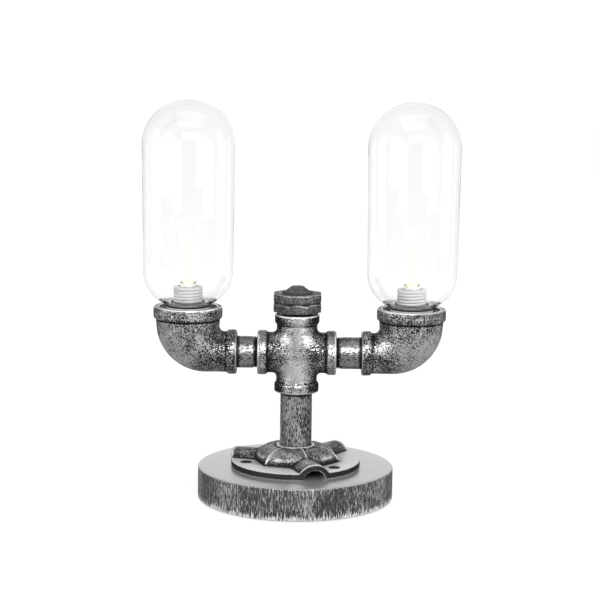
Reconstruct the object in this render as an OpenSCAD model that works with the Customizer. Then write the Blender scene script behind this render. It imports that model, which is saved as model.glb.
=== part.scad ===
// Two-arm table lamp built from pipe fittings: round wooden base, cast floor flange, riser, cross,
// two reducing elbows, and a clear glass capsule over a small tubular bulb on each arm.
// The origin is the centre of the underside, +Z is up, +X is right and -Y is the front.

/* [Base] */
// Diameter of the turned wooden base
base_d = 165; // [150:1:200]
// Thickness of the base
base_h = 27; // [20:0.5:32]
// Radius that rounds the base's edges
base_edge = 1.5; // [0.5:0.1:3]
// Thickness of the felt under the base
pad_t = 1.5; // [1:0.1:3]
// How far the felt stands back from the base's edge
pad_inset = 12; // [2:0.5:20]
// Diameter of the wiring recess in the underside
recess_d = 30; // [24:1:33]
// Depth of the wiring recess
recess_h = 12; // [11:0.5:14]
// Hole that takes the wires up through the base
wire_hole_d = 12; // [8:0.5:14]

/* [Cord inlet] */
// Bore of the bushing that a mains cord enters by
inlet_bore_d = 6.6; // [5:0.1:7.5]
// Outside diameter of the bushing's barrel
inlet_d = 9.4; // [9:0.1:10]
// Diameter of the bushing's outer flange
inlet_flange_d = 12.6; // [12:0.1:13]
// Thickness of that flange
inlet_flange_t = 1.6; // [1:0.1:2.5]
// Radius that rounds the flange's outer edge
inlet_edge = 0.6; // [0.2:0.1:0.9]
// Length of the barrel inside the base
inlet_len = 18; // [12:1:24]
// Height of the bushing's axis above the underside of the wood
inlet_z = 7.2; // [6.8:0.1:8]

/* [Floor flange] */
// Diameter of the flange's plate
flange_d = 109; // [104:1:125]
// Thickness of the plate
flange_t = 5.6; // [3:0.1:7]
// Radius that rounds the plate's upper edge
flange_edge = 1.4; // [0.5:0.1:2]
// Height of the hub's mouth above the base
hub_h = 18.4; // [17:0.1:26]
// Diameter of the hub's foot, measured across its ribs
hub_foot_d = 73; // [66:0.5:76]
// Diameter of the collar round the pipe
hub_top_d = 32.4; // [31.5:0.1:36]
// Depth of pipe held in the hub
hub_socket = 13; // [10:0.5:14]
// Number of ribs on the hub
rib_count = 6; // [4:1:8]
// Width of a rib
rib_w = 2.4; // [1.5:0.1:4]
// How far a rib stands out from the panels beside it
rib_proud = 1.1; // [0.5:0.1:2]
// How far the panels between the ribs swell
hub_puff = 2; // [0.5:0.1:3]
// Number of arched tunnels under the plate
tunnel_count = 3; // [2:1:4]
// Outside diameter of a tunnel's arch
tunnel_d = 29.4; // [24:0.1:32]
// Wall of a tunnel
tunnel_wall = 4.7; // [2:0.1:6]
// How far the arch's centre lies below the plate's underside
tunnel_drop = 2.1; // [0:0.1:4]
// How far a tunnel's end stays inside the plate's rim
tunnel_inset = 0.7; // [0.4:0.1:2]
// Turn of the first tunnel from straight ahead, in degrees
tunnel_turn = 17.5; // [0:0.5:40]
// Diameter of the circle that the screw holes lie on
screw_circle_d = 87; // [84:0.5:92]
// Turn from each tunnel to the screw hole beside it, in degrees
screw_turn = 30.5; // [26:0.5:34]

/* [Flange screws] */
// Diameter of a screw's head
screw_head_d = 10; // [7:0.1:11]
// Height of the screw's countersunk head
screw_head_h = 3; // [1.8:0.1:3.5]
// Diameter of the screw's shank
screw_d = 4.8; // [3.5:0.1:5.5]
// Length of the screw below its head
screw_len = 17; // [10:0.5:18]

/* [Pipe] */
// Outside diameter of the pipe
pipe_d = 26.7; // [26:0.1:27.2]
// Wall of the pipe
pipe_wall = 2.9; // [2.2:0.1:3.2]
// Chamfer at the pipe's ends
pipe_chamfer = 0.8; // [0.3:0.1:1.5]
// Depth of pipe screwed into a fitting
thread_len = 13; // [10:0.5:15]
// Bare length of the riser between the hub and the cross
riser_free = 45.5; // [30:0.5:80]
// Bare length of the left arm's pipe
left_free = 17.2; // [8:0.1:40]
// Bare length of the right arm's pipe
right_free = 21.2; // [8:0.1:40]

/* [Cross] */
// Diameter of the bands round the small outlets
band_d = 37.4; // [36.5:0.1:40]
// Width of those bands
band_w = 8; // [6:0.1:10]
// Radius that rounds the bands' edges
band_edge = 1.2; // [0.4:0.1:2]
// Diameter of the fittings' bodies behind the bands
fit_d = 34.2; // [33.5:0.1:35.5]
// Centre of the cross to each face
cross_reach = 33.1; // [32.5:0.1:40]
// Fillet between the arms of the cross
cross_fillet = 4; // [3:0.1:7]

/* [Elbows] */
// Mouth axis to the face of the small outlet
elbow_reach = 41.3; // [41:0.1:48]
// Arm axis up to the mouth's rim
mouth_rise = 38.6; // [38:0.1:46]
// Diameter of the band round the mouth
mouth_d = 57.8; // [56.5:0.1:62]
// Height of that band
mouth_band_h = 10; // [9:0.1:13]
// Radius that rounds the mouth's rim
mouth_edge = 1.2; // [0.5:0.1:3]
// Diameter of the elbow's neck below the band
neck_d = 53.6; // [53:0.1:55]
// Radius of the elbow's outer bend
bend_r = 41.8; // [39:0.1:44]
// Radius of the elbow's inner corner
crotch_r = 4; // [3:0.1:7]
// Bore of the mouth
mouth_bore_d = 48.4; // [47.5:0.1:49]
// Depth of the ledge below the mouth's rim
mouth_depth = 8.3; // [8:0.1:12]
// Width of the cavity below the ledge
cavity_d = 38; // [34:0.5:39]
// How far the cavity's round foot lies below the arm's axis
cavity_drop = 7; // [4:0.1:9]

/* [Switch] */
// Across the flats of the two octagonal lock nuts
nut_flats = 39.8; // [36:0.1:42]
// Height of each lock nut
nut_h = 7.6; // [6:0.1:10]
// Chamfer on the nuts' facing edges, measured along the axis
nut_chamfer = 1.8; // [1:0.1:2.5]
// Width of that chamfer, measured from the nuts' corners
nut_bevel = 2.4; // [1.5:0.1:3]
// Bare sleeve between the cross and the lower nut
nut_lift = 2.2; // [0.5:0.1:4]
// Bore of the threaded sleeve
sleeve_bore_d = 23; // [22.6:0.1:23.4]
// Diameter of the ring round the button
bezel_d = 25.2; // [24.6:0.1:30]
// Height of that ring
bezel_h = 1.5; // [1:0.1:3]
// Diameter of the push button
button_d = 20; // [18:0.1:20.2]
// Diameter of the flat on top of the button
button_flat_d = 9.6; // [6:0.1:14]
// Height of the button above its ring
button_rise = 4.4; // [3.5:0.1:7]
// Straight side of the button above its ring, below the dome
button_side = 0.6; // [0.2:0.1:1.5]
// Rounding at the edge of the button's flat top
button_round = 0.8; // [0.2:0.1:1.5]
// How far the button travels when it is pressed
button_travel = 3; // [1.5:0.1:3.5]
// Reach of the button's skirt below the sleeve's rim
button_skirt = 3.5; // [2.5:0.1:4]
// Diameter of the button's guide stem
stem_d = 5; // [3:0.1:6]
// Room left under the skirt when the button is pressed
cup_spare = 2.5; // [1:0.1:3]
// Depth of the stem's bore below the cup
stem_guide = 9; // [7:0.1:9.5]
// Room left under the stem when the button is pressed
stem_spare = 1; // [0.5:0.1:1.5]
// Height of the roof that the spring presses on, above the sleeve's rim
spring_top = 2; // [1:0.1:3]
// Length of the switch body below the sleeve's rim
switch_len = 24; // [22:0.5:26]
// Wire of the return spring
spring_wire = 0.9; // [0.6:0.05:1]
// Mean diameter of the return spring
spring_d = 10; // [8:0.1:11]
// Turns of the return spring
spring_turns = 5; // [3:1:6]

/* [Lampholder] */
// Thickness of the disc that carries the lampholder
plate_t = 1.5; // [1:0.1:3]
// Outside diameter of the threaded barrel
holder_d = 25; // [23:0.1:25.4]
// Height of the barrel above the disc
holder_h = 23; // [21:0.1:26]
// Chamfer at the barrel's rim
holder_chamfer = 0.8; // [0.3:0.1:1.5]
// Thickness of the barrel's floor
holder_floor = 6; // [5:0.1:7]
// Outside diameter of the hollow threaded tube
tube_d = 10; // [8:0.1:11]
// Bore of that tube
tube_bore_d = 6.4; // [5:0.1:7]
// Length of the tube below the disc
tube_drop = 8; // [6:0.1:10]
// Depth of the tube in the barrel's floor
tube_grip = 4.6; // [3:0.1:4.8]
// Across the flats of the tube's nut
tube_nut_flats = 14; // [13:0.1:17]
// Height of the tube's nut
tube_nut_h = 4; // [3:0.1:5]
// Wall of the contact shell
shell_wall = 0.6; // [0.4:0.05:0.9]
// How far the shell ends below the barrel's rim
shell_drop = 1; // [0.5:0.1:3]
// Diameter of the centre contact
contact_d = 6; // [4:0.1:8]
// Height of the centre contact
contact_h = 1; // [0.6:0.1:1.6]
// Diameter of the wires
lead_d = 3.6; // [2:0.1:4]
// Distance of each wire from the switch's axis
lead_offset = 5; // [3:0.1:6]
// Radius of the wires' bends
lead_bend = 8; // [6:0.1:9]

/* [Bulb] */
// Diameter of the bulb's screw cap
cap_d = 13.9; // [13.5:0.05:14.1]
// Height of the cap
cap_h = 19; // [17.5:0.1:22]
// Diameter of the cap's tip
tip_d = 5; // [4:0.1:6]
// Height of the cap's tip
tip_h = 1.5; // [1:0.1:2]
// Height of the cap's insulating cone above its foot
cone_h = 4; // [3:0.1:5]
// Wall of the cap round the glass
cap_wall = 0.7; // [0.5:0.05:1]
// Depth of the glass in the cap
bulb_sunk = 3; // [2:0.1:5]
// Diameter of the bulb's glass
bulb_d = 19.2; // [18:0.1:22]
// Length of the bulb's glass above its cap
bulb_len = 48; // [42:0.5:60]
// Wall of the bulb's glass
bulb_wall = 0.8; // [0.6:0.05:1.2]
// Diameter of the glass stem inside the bulb
mount_d = 6; // [4:0.1:7]
// Length of that stem
mount_len = 9; // [5:0.5:14]
// Length of the filaments
filament_len = 28; // [15:0.5:29]
// Diameter of a filament
filament_d = 1.6; // [1:0.1:2]
// Distance of each filament from the bulb's axis
filament_offset = 1.9; // [1.4:0.1:2.1]
// Diameter of the wire that joins the filaments at the top
bridge_d = 0.9; // [0.6:0.1:0.9]

/* [Shade] */
// Widest diameter of the glass, at its upper shoulder
shade_d = 77.2; // [74:0.1:90]
// Diameter of the glass at its lower shoulder
shade_low_d = 75; // [70:0.1:80]
// Height of the glass
shade_h = 173.3; // [130:0.5:220]
// Wall of the glass
glass_wall = 2.2; // [1.6:0.1:3]
// Height of the domed top
dome_h = 37; // [25:0.5:45]
// Radius of the lower bend
low_bend = 30; // [26:0.5:33]
// Hole in the bottom of the glass
shade_hole_d = 29; // [28.6:0.1:31]
// Height of the glass's lowest point above the disc
collar_lift = 5.4; // [3:0.1:7]
// Height of the threaded collar
collar_h = 10.2; // [9.5:0.1:12]
// Diameter of the collar's foot
collar_foot_d = 36; // [33:0.1:40]

/* [Fits] */
// Radial clearance of a pipe in a fitting
thread_gap = 0.1; // [0.05:0.05:0.2]
// Radial clearance of small fixed pieces in their seats
seat_gap = 0.1; // [0.05:0.05:0.15]
// Clearance round pieces that move
move_gap = 0.3; // [0.25:0.05:0.4]
// Radial clearance of a turning or sliding fit
run_gap = 0.06; // [0.03:0.01:0.1]

/* [Hidden] */
$fn = 64;
LEFT = -1;
RIGHT = 1;
// Overrun of a cut past the face that it opens, and of a solid into what it joins
cut = 1;
// How much slimmer a bend is than the pipe it leaves, so that it dies into it
slim = 0.25;

// Heights above the table
base_top = pad_t + base_h;
hub_top = base_top + hub_h;
riser_foot = hub_top - hub_socket;
arm_z = hub_top + riser_free + cross_reach;
cross_top = arm_z + cross_reach;
sleeve_foot = cross_top - thread_len;
lower_nut_z = cross_top + nut_lift;
sleeve_top = lower_nut_z + 2 * nut_h;

// Bores and radii
pipe_bore_d = pipe_d - 2 * pipe_wall;
socket_d = pipe_d + 2 * thread_gap;
base_r = base_d / 2;

// The bushing's flange sits in a spot face, its outer side level with the edge of the round base
inlet_face_y = sqrt(pow(base_r, 2) - pow(inlet_flange_d / 2 + seat_gap, 2));
inlet_seat_y = inlet_face_y - inlet_flange_t;

// Heights above the arm's axis, along each mouth
ledge_z = mouth_rise - mouth_depth;
plate_top = ledge_z + plate_t;
holder_floor_z = plate_top + holder_floor;
cap_foot = holder_floor_z + contact_h;
cap_top = cap_foot + cap_h;
shade_foot = plate_top + collar_lift;
shade_top = shade_foot + shade_h;

// How far the hub's dome and ribs run into the plate and the collar
hub_sink = 0.7;

// Depths in the switch, below the sleeve's rim
cup_depth = button_skirt + button_travel + cup_spare;
stem_bore_depth = cup_depth + stem_guide;
stem_depth = stem_bore_depth - stem_spare - button_travel;

// Radius of the bulb's glass where it enters the cap
bulb_neck_r = cap_d / 2 - cap_wall - seat_gap;

// Centre of the bend at the foot of the shade, seen from the side
low_centre = [shade_low_d / 2 - low_bend, shade_foot + low_bend];

// Distance from the middle of the lamp to a mouth's axis
function mouth_x(side) = cross_reach + (side == LEFT ? left_free : right_free) + elbow_reach;

// Points along an arc about c from angle a0 to a1
function arc(c, r, a0, a1, n) =
    [for (i = [0:n]) let (a = a0 + (a1 - a0) * i / n) c + r * [cos(a), sin(a)]];

// Points along a quarter of an ellipse, from its side up to its top
function quarter(c, rx, rz, n) =
    [for (i = [0:n]) let (a = 90 * i / n) c + [rx * cos(a), rz * sin(a)]];

// The same list, last point first
function reversed(list) = [for (i = [len(list) - 1:-1:0]) list[i]];

// Solid through a row of rings that all have as many points
module loft(rings) {
    n = len(rings[0]);
    last = (len(rings) - 1) * n;
    sides = [
        for (j = [0:n:last - n], i = [0:n - 1], half = [0, 1])
            let (k = (i + 1) % n)
            half == 0 ? [j + i, j + n + k, j + k] : [j + i, j + n + i, j + n + k]
    ];
    foot = [for (i = [0:n - 1]) i];
    head = [for (i = [n - 1:-1:0]) last + i];
    polyhedron([for (ring = rings) each ring], concat(sides, [foot, head]));
}

// Disc with a rounded upper edge and a sharp or rounded lower one, its underside at z = 0
module rounded_disc(d, h, head_r, foot_r = 0) {
    r = d / 2;
    steps = 4;
    foot = foot_r > 0 ? arc([r - foot_r, foot_r], foot_r, -90, 0, steps) : [[r, 0]];
    head = arc([r - head_r, h - head_r], head_r, 0, 90, steps);
    rotate_extrude()
        polygon(concat([[0, 0]], foot, head, [[0, h]]));
}

// Tube with chamfered ends, standing on z = 0
module pipe(length, bore_d) {
    r = pipe_d / 2;
    c = pipe_chamfer;
    rotate_extrude()
        polygon([
            [bore_d / 2, 0], [r - c, 0], [r, c],
            [r, length - c], [r - c, length], [bore_d / 2, length]
        ]);
}

// Places what is drawn about a mouth's axis at the left or the right arm, with +X towards the middle
module on_arm(side) {
    translate([side * mouth_x(side), 0, arm_z])
        mirror([side == RIGHT ? 1 : 0, 0, 0])
            children();
}

// Turns what stands along +Z to lie along +X
module along_x() {
    rotate([0, 90, 0]) children();
}

// Round wooden base with its wiring recess, wire hole, screw holes and the bore for the cord bushing
module base_disc() {
    hole_foot = base_top + flange_t - screw_head_h - screw_len - cut;
    color("dimgray")
        difference() {
            translate([0, 0, pad_t]) rounded_disc(base_d, base_h, base_edge, base_edge);
            translate([0, 0, pad_t - cut]) cylinder(d = recess_d, h = recess_h + cut);
            cylinder(d = wire_hole_d, h = base_top + cut);
            at_screws() translate([0, 0, hole_foot])
                cylinder(d = screw_d + 2 * seat_gap, h = base_top - hole_foot + cut);
            translate([0, 0, pad_t + inlet_z]) rotate([-90, 0, 0]) {
                cylinder(d = inlet_d + 2 * seat_gap, h = base_r);
                translate([0, 0, inlet_seat_y])
                    cylinder(d = inlet_flange_d + 2 * seat_gap, h = base_r);
            }
        }
}

// Felt disc that the lamp stands on
module felt_pad() {
    color("black") cylinder(d = base_d - 2 * pad_inset, h = pad_t);
}

// Flanged bushing in the back of the base
module cord_bushing() {
    color("black")
        translate([0, inlet_seat_y, pad_t + inlet_z])
            rotate([-90, 0, 0])
                difference() {
                    union() {
                        translate([0, 0, -inlet_len]) cylinder(d = inlet_d, h = inlet_len);
                        rounded_disc(inlet_flange_d, inlet_flange_t, inlet_edge);
                    }
                    translate([0, 0, -inlet_len - cut])
                        cylinder(d = inlet_bore_d, h = inlet_len + inlet_flange_t + 2 * cut);
                }
}

// Direction of a tunnel or rib about the lamp's axis, turned from the front towards +X
module turned_from_front(angle) {
    rotate(angle - 90) children();
}

// Places of the three flange screws
module at_screws() {
    for (i = [0:tunnel_count - 1])
        turned_from_front(tunnel_turn + screw_turn + 360 / tunnel_count * i)
            translate([screw_circle_d / 2, 0, 0])
                children();
}

// Outline of the hub's ribs: a quarter ellipse that falls from inside the collar to inside the plate
hub_steps = 8;
function hub_curve(proud) =
    let (c = [hub_top_d / 2 - hub_sink, flange_t - hub_sink])
    quarter(
        c,
        hub_foot_d / 2 - c[0] - rib_proud + proud,
        hub_h - c[1] - 2 * rib_proud + proud,
        hub_steps
    );

// Six-sided dome of the hub: flat-sided at its foot, puffed between the ribs and round at the collar
module hub_dome() {
    points = 12 * rib_count;
    sector = 360 / rib_count;
    rows = hub_curve(0);
    loft([
        for (j = [0:hub_steps])
            let (
                rise = 90 * j / hub_steps,
                along = 2 * j / hub_steps - 1
            )
            [for (i = [0:points - 1])
                let (
                    a = 360 * i / points,
                    off = abs((a % sector) - sector / 2),
                    across = 2 * off / sector,
                    flat = cos(sector / 2) / cos(off),
                    swell = hub_puff * (1 - pow(across, 4)) * (1 - pow(along, 4)),
                    r = rows[j][0] * (flat + (1 - flat) * sin(rise)) + swell * cos(rise)
                )
                [r * cos(a), r * sin(a), rows[j][1] + swell * sin(rise)]]
    ]);
}

// One rib, a plate on edge along the hub's outline, with its inner end inside the collar
module hub_rib() {
    curve = hub_curve(rib_proud);
    inner_x = socket_d / 2 + hub_sink;
    rotate([90, 0, 0])
        translate([0, 0, -rib_w / 2])
            linear_extrude(rib_w)
                polygon(concat([[inner_x, curve[0][1]]], curve, [[inner_x, curve[hub_steps][1]]]));
}

// Arched bar along +X with its flat side down; the arch's centre lies a drop below that side
module arched_bar(d, drop, from, to) {
    translate([from, 0, 0])
        rotate([90, 0, 90])
            linear_extrude(to - from)
                intersection() {
                    translate([0, -drop]) circle(d = d);
                    translate([-d / 2, 0]) square([d, d / 2]);
                }
}

// Cast floor flange: plate, domed hub with ribs, collar, and three tunnels that open at the rim
module floor_flange() {
    tunnel_end = sqrt(pow(flange_d / 2 - tunnel_inset, 2) - pow(tunnel_d / 2, 2) + pow(tunnel_drop, 2));
    tunnel_start = hub_foot_d / 2 - tunnel_d / 2;
    color("gray")
        translate([0, 0, base_top])
            difference() {
                union() {
                    rounded_disc(flange_d, flange_t, flange_edge);
                    turned_from_front(tunnel_turn) hub_dome();
                    for (i = [0:rib_count - 1])
                        turned_from_front(tunnel_turn + 360 / rib_count * i) hub_rib();
                    cylinder(d = hub_top_d, h = hub_h);
                    for (i = [0:tunnel_count - 1])
                        turned_from_front(tunnel_turn + 360 / tunnel_count * i)
                            arched_bar(tunnel_d, tunnel_drop, hub_top_d / 2, tunnel_end);
                }
                translate([0, 0, hub_h - hub_socket]) cylinder(d = socket_d, h = hub_socket + cut);
                translate([0, 0, -cut]) cylinder(d = wire_hole_d, h = hub_h);
                for (i = [0:tunnel_count - 1])
                    turned_from_front(tunnel_turn + 360 / tunnel_count * i)
                        translate([tunnel_start, 0, -tunnel_drop])
                            along_x() cylinder(d = tunnel_d - 2 * tunnel_wall, h = flange_d / 2);
                at_screws() translate([0, 0, flange_t - screw_head_h]) {
                    translate([0, 0, -flange_t])
                        cylinder(d = screw_d + 2 * move_gap, h = flange_t + cut);
                    countersink();
                }
            }
}

// Seat of a screw's head, open above it
module countersink() {
    head_d = screw_head_d + 2 * seat_gap;
    cylinder(d1 = screw_d + 2 * seat_gap, d2 = head_d, h = screw_head_h);
    translate([0, 0, screw_head_h]) cylinder(d = head_d, h = flange_t);
}

// Three countersunk wood screws with pointed ends
module flange_screws() {
    point_h = screw_d;
    color("darkslategray")
        at_screws() translate([0, 0, base_top + flange_t - screw_head_h])
            rotate_extrude()
                polygon([
                    [0, -screw_len], [screw_d / 2, point_h - screw_len], [screw_d / 2, 0],
                    [screw_head_d / 2, screw_head_h], [0, screw_head_h]
                ]);
}

// Upright pipe between the flange and the cross
module riser_pipe() {
    color("gray")
        translate([0, 0, riser_foot])
            pipe(hub_socket + riser_free + thread_len, pipe_bore_d);
}

// Body and band of one arm of a fitting along +X
module outlet(reach) {
    along_x() cylinder(d = fit_d, h = reach - band_w / 2);
    translate([reach - band_w, 0, 0]) along_x() rounded_disc(band_d, band_w, band_edge, band_edge);
}

// Threaded socket and waterway of one outlet along +X
module outlet_bore(reach) {
    along_x() cylinder(d = pipe_bore_d, h = reach);
    translate([reach - thread_len, 0, 0]) along_x() cylinder(d = socket_d, h = thread_len + cut);
}

// Fillet between two arms of the cross: a bend a little slimmer than the arms, so it dies into them
module cross_corner() {
    bend = fit_d / 2 + cross_fillet;
    translate([bend, 0, bend])
        rotate([90, 180, 0])
            rotate_extrude(angle = 90)
                translate([bend, 0]) circle(d = fit_d - 2 * slim);
}

// Pipe cross with four banded outlets
module cross_fitting() {
    color("gray")
        translate([0, 0, arm_z])
            difference() {
                union() {
                    for (a = [0:90:270])
                        rotate([0, a, 0]) {
                            outlet(cross_reach);
                            cross_corner();
                        }
                }
                for (a = [0:90:270]) rotate([0, a, 0]) outlet_bore(cross_reach);
            }
}

// Threaded sleeve in the cross's top outlet
module switch_sleeve() {
    color("dimgray")
        translate([0, 0, sleeve_foot])
            pipe(sleeve_top - sleeve_foot, sleeve_bore_d);
}

// Octagonal lock nut with one chamfered face, which is on top
module lock_nut() {
    sides = 8;
    half = 180 / sides;
    corner_r = nut_flats / 2 / cos(half);
    difference() {
        intersection() {
            rotate(half) cylinder(r = corner_r, h = nut_h, $fn = sides);
            rotate_extrude()
                polygon([
                    [0, 0], [corner_r + cut, 0],
                    [corner_r + cut, nut_h - nut_chamfer * (1 + cut / nut_bevel)],
                    [corner_r - nut_bevel, nut_h], [0, nut_h]
                ]);
        }
        translate([0, 0, -cut]) cylinder(d = socket_d, h = nut_h + 2 * cut);
    }
}

module lower_nut() {
    color("dimgray") translate([0, 0, lower_nut_z]) lock_nut();
}

module upper_nut() {
    color("dimgray") translate([0, 0, sleeve_top]) rotate([180, 0, 0]) lock_nut();
}

// Barrel of the push switch, with a cup for the button and a bore for its stem
module switch_body() {
    cup_r = button_d / 2 + move_gap;
    stem_r = stem_d / 2 + run_gap;
    barrel_r = sleeve_bore_d / 2 - 2 * seat_gap;
    color("black")
        translate([0, 0, sleeve_top])
            rotate_extrude()
                polygon([
                    [0, -switch_len], [barrel_r, -switch_len], [barrel_r, 0], [cup_r, 0],
                    [cup_r, -cup_depth], [stem_r, -cup_depth], [stem_r, -stem_bore_depth],
                    [0, -stem_bore_depth]
                ]);
}

// Return spring between the cup's floor and the button
module button_spring() {
    sides = 6;
    per_turn = 8;
    wire_r = spring_wire / 2;
    foot_z = sleeve_top - cup_depth + wire_r;
    rise = cup_depth + spring_top - spring_wire;
    rings = spring_turns * per_turn;
    color("silver")
        loft([
            for (j = [0:rings])
                let (
                    a = 360 * j / per_turn,
                    out = [cos(a), sin(a), 0]
                )
                [for (i = [0:sides - 1])
                    let (b = -360 * i / sides)
                    out * (spring_d / 2 + wire_r * cos(b))
                        + [0, 0, foot_z + rise * j / rings + wire_r * sin(b)]]
        ]);
}

// Ring round the button, seated on the sleeve's rim
module switch_bezel() {
    color("gray")
        translate([0, 0, sleeve_top])
            difference() {
                rounded_disc(bezel_d, bezel_h, bezel_h / 3);
                translate([0, 0, -cut]) cylinder(d = button_d + 2 * move_gap, h = bezel_h + 2 * cut);
            }
}

// Cone-shaped push button with a flat top, a hollow for the spring and a guide stem
module switch_button() {
    r = button_d / 2;
    flat_r = button_flat_d / 2;
    stem_r = stem_d / 2;
    hollow_r = spring_d / 2 + spring_wire / 2 + move_gap;
    side_z = bezel_h + button_side;
    top_z = bezel_h + button_rise;
    color("gray")
        translate([0, 0, sleeve_top])
            rotate_extrude()
                polygon([
                    [0, -stem_depth], [stem_r, -stem_depth], [stem_r, spring_top],
                    [hollow_r, spring_top], [hollow_r, -button_skirt], [r, -button_skirt], [r, side_z],
                    [flat_r + button_round, top_z - button_round / 2], [flat_r, top_z], [0, top_z]
                ]);
}

// Horizontal pipe between the cross and an elbow
module nipple(side, free) {
    color("gray")
        translate([side * (cross_reach - thread_len), 0, arm_z])
            rotate([0, side * 90, 0])
                pipe(free + 2 * thread_len, pipe_bore_d);
}

module left_nipple() {
    nipple(LEFT, left_free);
}

module right_nipple() {
    nipple(RIGHT, right_free);
}

// Ring of the elbow's body between a point on its outer bend and one on its inner corner
function elbow_ring(outer, inner, points) =
    let (
        middle = (outer + inner) / 2,
        r = norm(inner - outer) / 2,
        across = (inner - outer) / norm(inner - outer)
    )
    [for (i = [0:points - 1])
        let (a = -360 * i / points, p = middle + r * cos(a) * across)
        [p[0], r * sin(a), p[1]]];

// Reducing bend: its outer side is one wide arc, its inner side a tight corner
module elbow_bend() {
    steps = 14;
    points = 32;
    neck_r = neck_d / 2 - slim;
    body_r = fit_d / 2;
    outer_c = [bend_r - neck_r, bend_r - body_r];
    inner_c = [neck_r + crotch_r, body_r + crotch_r];
    arc_len = bend_r * PI / 2;
    run_len = arc_len + elbow_reach - band_w - outer_c[0];
    top_z = outer_c[1] + 2 * cut;
    loft(concat(
        [elbow_ring([-neck_r, top_z], [neck_r, top_z], points)],
        [for (j = [0:steps])
            let (
                run = run_len * j / steps,
                turn = 90 * min(1, run / arc_len),
                straight = max(0, run - arc_len),
                outer = outer_c - bend_r * [cos(turn), sin(turn)] + [straight, 0],
                corner = 90 * j / steps,
                inner_end = [elbow_reach - band_w, body_r],
                inner_arc = inner_c - crotch_r * [cos(corner), sin(corner)],
                inner = j == steps ? inner_end : inner_arc
            )
            elbow_ring(outer, inner, points)],
        [elbow_ring(
            [elbow_reach - band_w / 2, -body_r], [elbow_reach - band_w / 2, body_r], points)]
    ));
}

// Reducing elbow: banded mouth with a ledge inside, a swept bend, and a banded pipe outlet
module elbow() {
    cavity_r = cavity_d / 2;
    cavity_z = cavity_r - cavity_drop;
    neck_foot = bend_r - fit_d / 2;
    difference() {
        union() {
            elbow_bend();
            translate([0, 0, neck_foot]) cylinder(d = neck_d, h = mouth_rise - neck_foot - cut);
            translate([0, 0, mouth_rise - mouth_band_h]) rounded_disc(mouth_d, mouth_band_h, mouth_edge, band_edge);
            translate([elbow_reach - band_w, 0, 0])
                along_x() rounded_disc(band_d, band_w, band_edge, band_edge);
        }
        translate([0, 0, ledge_z]) cylinder(d = mouth_bore_d, h = mouth_depth + cut);
        rotate_extrude()
            polygon(concat(
                [[0, ledge_z + cut], [cavity_r, ledge_z + cut]],
                arc([0, cavity_z], cavity_r, 0, -90, 8)
            ));
        outlet_bore(elbow_reach);
    }
}

// Disc on the mouth's ledge that carries the lampholder
module holder_plate() {
    color("silver")
        translate([0, 0, ledge_z])
            difference() {
                cylinder(d = mouth_bore_d - 2 * seat_gap, h = plate_t);
                translate([0, 0, -cut]) cylinder(d = tube_d + 2 * seat_gap, h = plate_t + 2 * cut);
            }
}

// Hollow threaded tube through the disc
module holder_tube() {
    color("goldenrod")
        translate([0, 0, ledge_z - tube_drop])
            difference() {
                cylinder(d = tube_d, h = tube_drop + plate_t + tube_grip);
                translate([0, 0, -cut])
                    cylinder(d = tube_bore_d, h = tube_drop + plate_t + tube_grip + 2 * cut);
            }
}

// Hexagonal nut that draws the tube down against the disc
module holder_nut() {
    color("silver")
        translate([0, 0, ledge_z - tube_nut_h])
            difference() {
                cylinder(d = tube_nut_flats / cos(30), h = tube_nut_h, $fn = 6);
                translate([0, 0, -cut]) cylinder(d = tube_d + 2 * seat_gap, h = tube_nut_h + 2 * cut);
            }
}

// Threaded barrel of the lampholder
module lampholder() {
    bore_r = cap_d / 2 + run_gap + shell_wall + seat_gap;
    tube_r = tube_d / 2 + seat_gap;
    color("darkgray")
        translate([0, 0, plate_top])
            rotate_extrude()
                polygon([
                    [tube_r, 0], [holder_d / 2, 0], [holder_d / 2, holder_h - holder_chamfer],
                    [holder_d / 2 - holder_chamfer, holder_h], [bore_r, holder_h],
                    [bore_r, holder_floor],
                    [0, holder_floor], [0, tube_grip], [tube_r, tube_grip]
                ]);
}

// Screw shell contact, lining the barrel
module screw_shell() {
    shell_r = cap_d / 2 + run_gap;
    color("gold")
        translate([0, 0, holder_floor_z])
            difference() {
                cylinder(r = shell_r + shell_wall, h = holder_h - holder_floor - shell_drop);
                translate([0, 0, -cut]) cylinder(r = shell_r, h = holder_h);
            }
}

// Contact on the barrel's floor that the bulb's tip presses on
module centre_contact() {
    color("gold") translate([0, 0, holder_floor_z]) cylinder(d = contact_d, h = contact_h);
}

// Wire from the switch, down into the cross, along the arm and up into the lampholder's tube
module lamp_lead(side) {
    sides = 8;
    bend = lead_bend;
    start_x = mouth_x(side) - lead_offset;
    start_z = sleeve_top - switch_len - arm_z;
    end_z = plate_top + tube_grip;
    route = concat(
        [[start_x, start_z]],
        arc([start_x - bend, bend], bend, 0, -90, 6),
        arc([bend, bend], bend, -90, -180, 6),
        [[0, end_z]]
    );
    last = len(route) - 1;
    color("black")
        loft([
            for (j = [0:last])
                let (
                    ahead = route[min(j + 1, last)] - route[max(j - 1, 0)],
                    end = j == 0 || j == last,
                    along = end ? [0, ahead[1]] / abs(ahead[1]) : ahead / norm(ahead)
                )
                [for (i = [0:sides - 1])
                    let (a = 360 * i / sides, r = lead_d / 2)
                    [route[j][0] + r * cos(a) * along[1], r * sin(a), route[j][1] - r * cos(a) * along[0]]]
        ]);
}

// Angle on a circle of radius r about low_centre where it meets the distance x from the axis
function low_angle(r, x) = -acos((x - low_centre[0]) / r);

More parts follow.
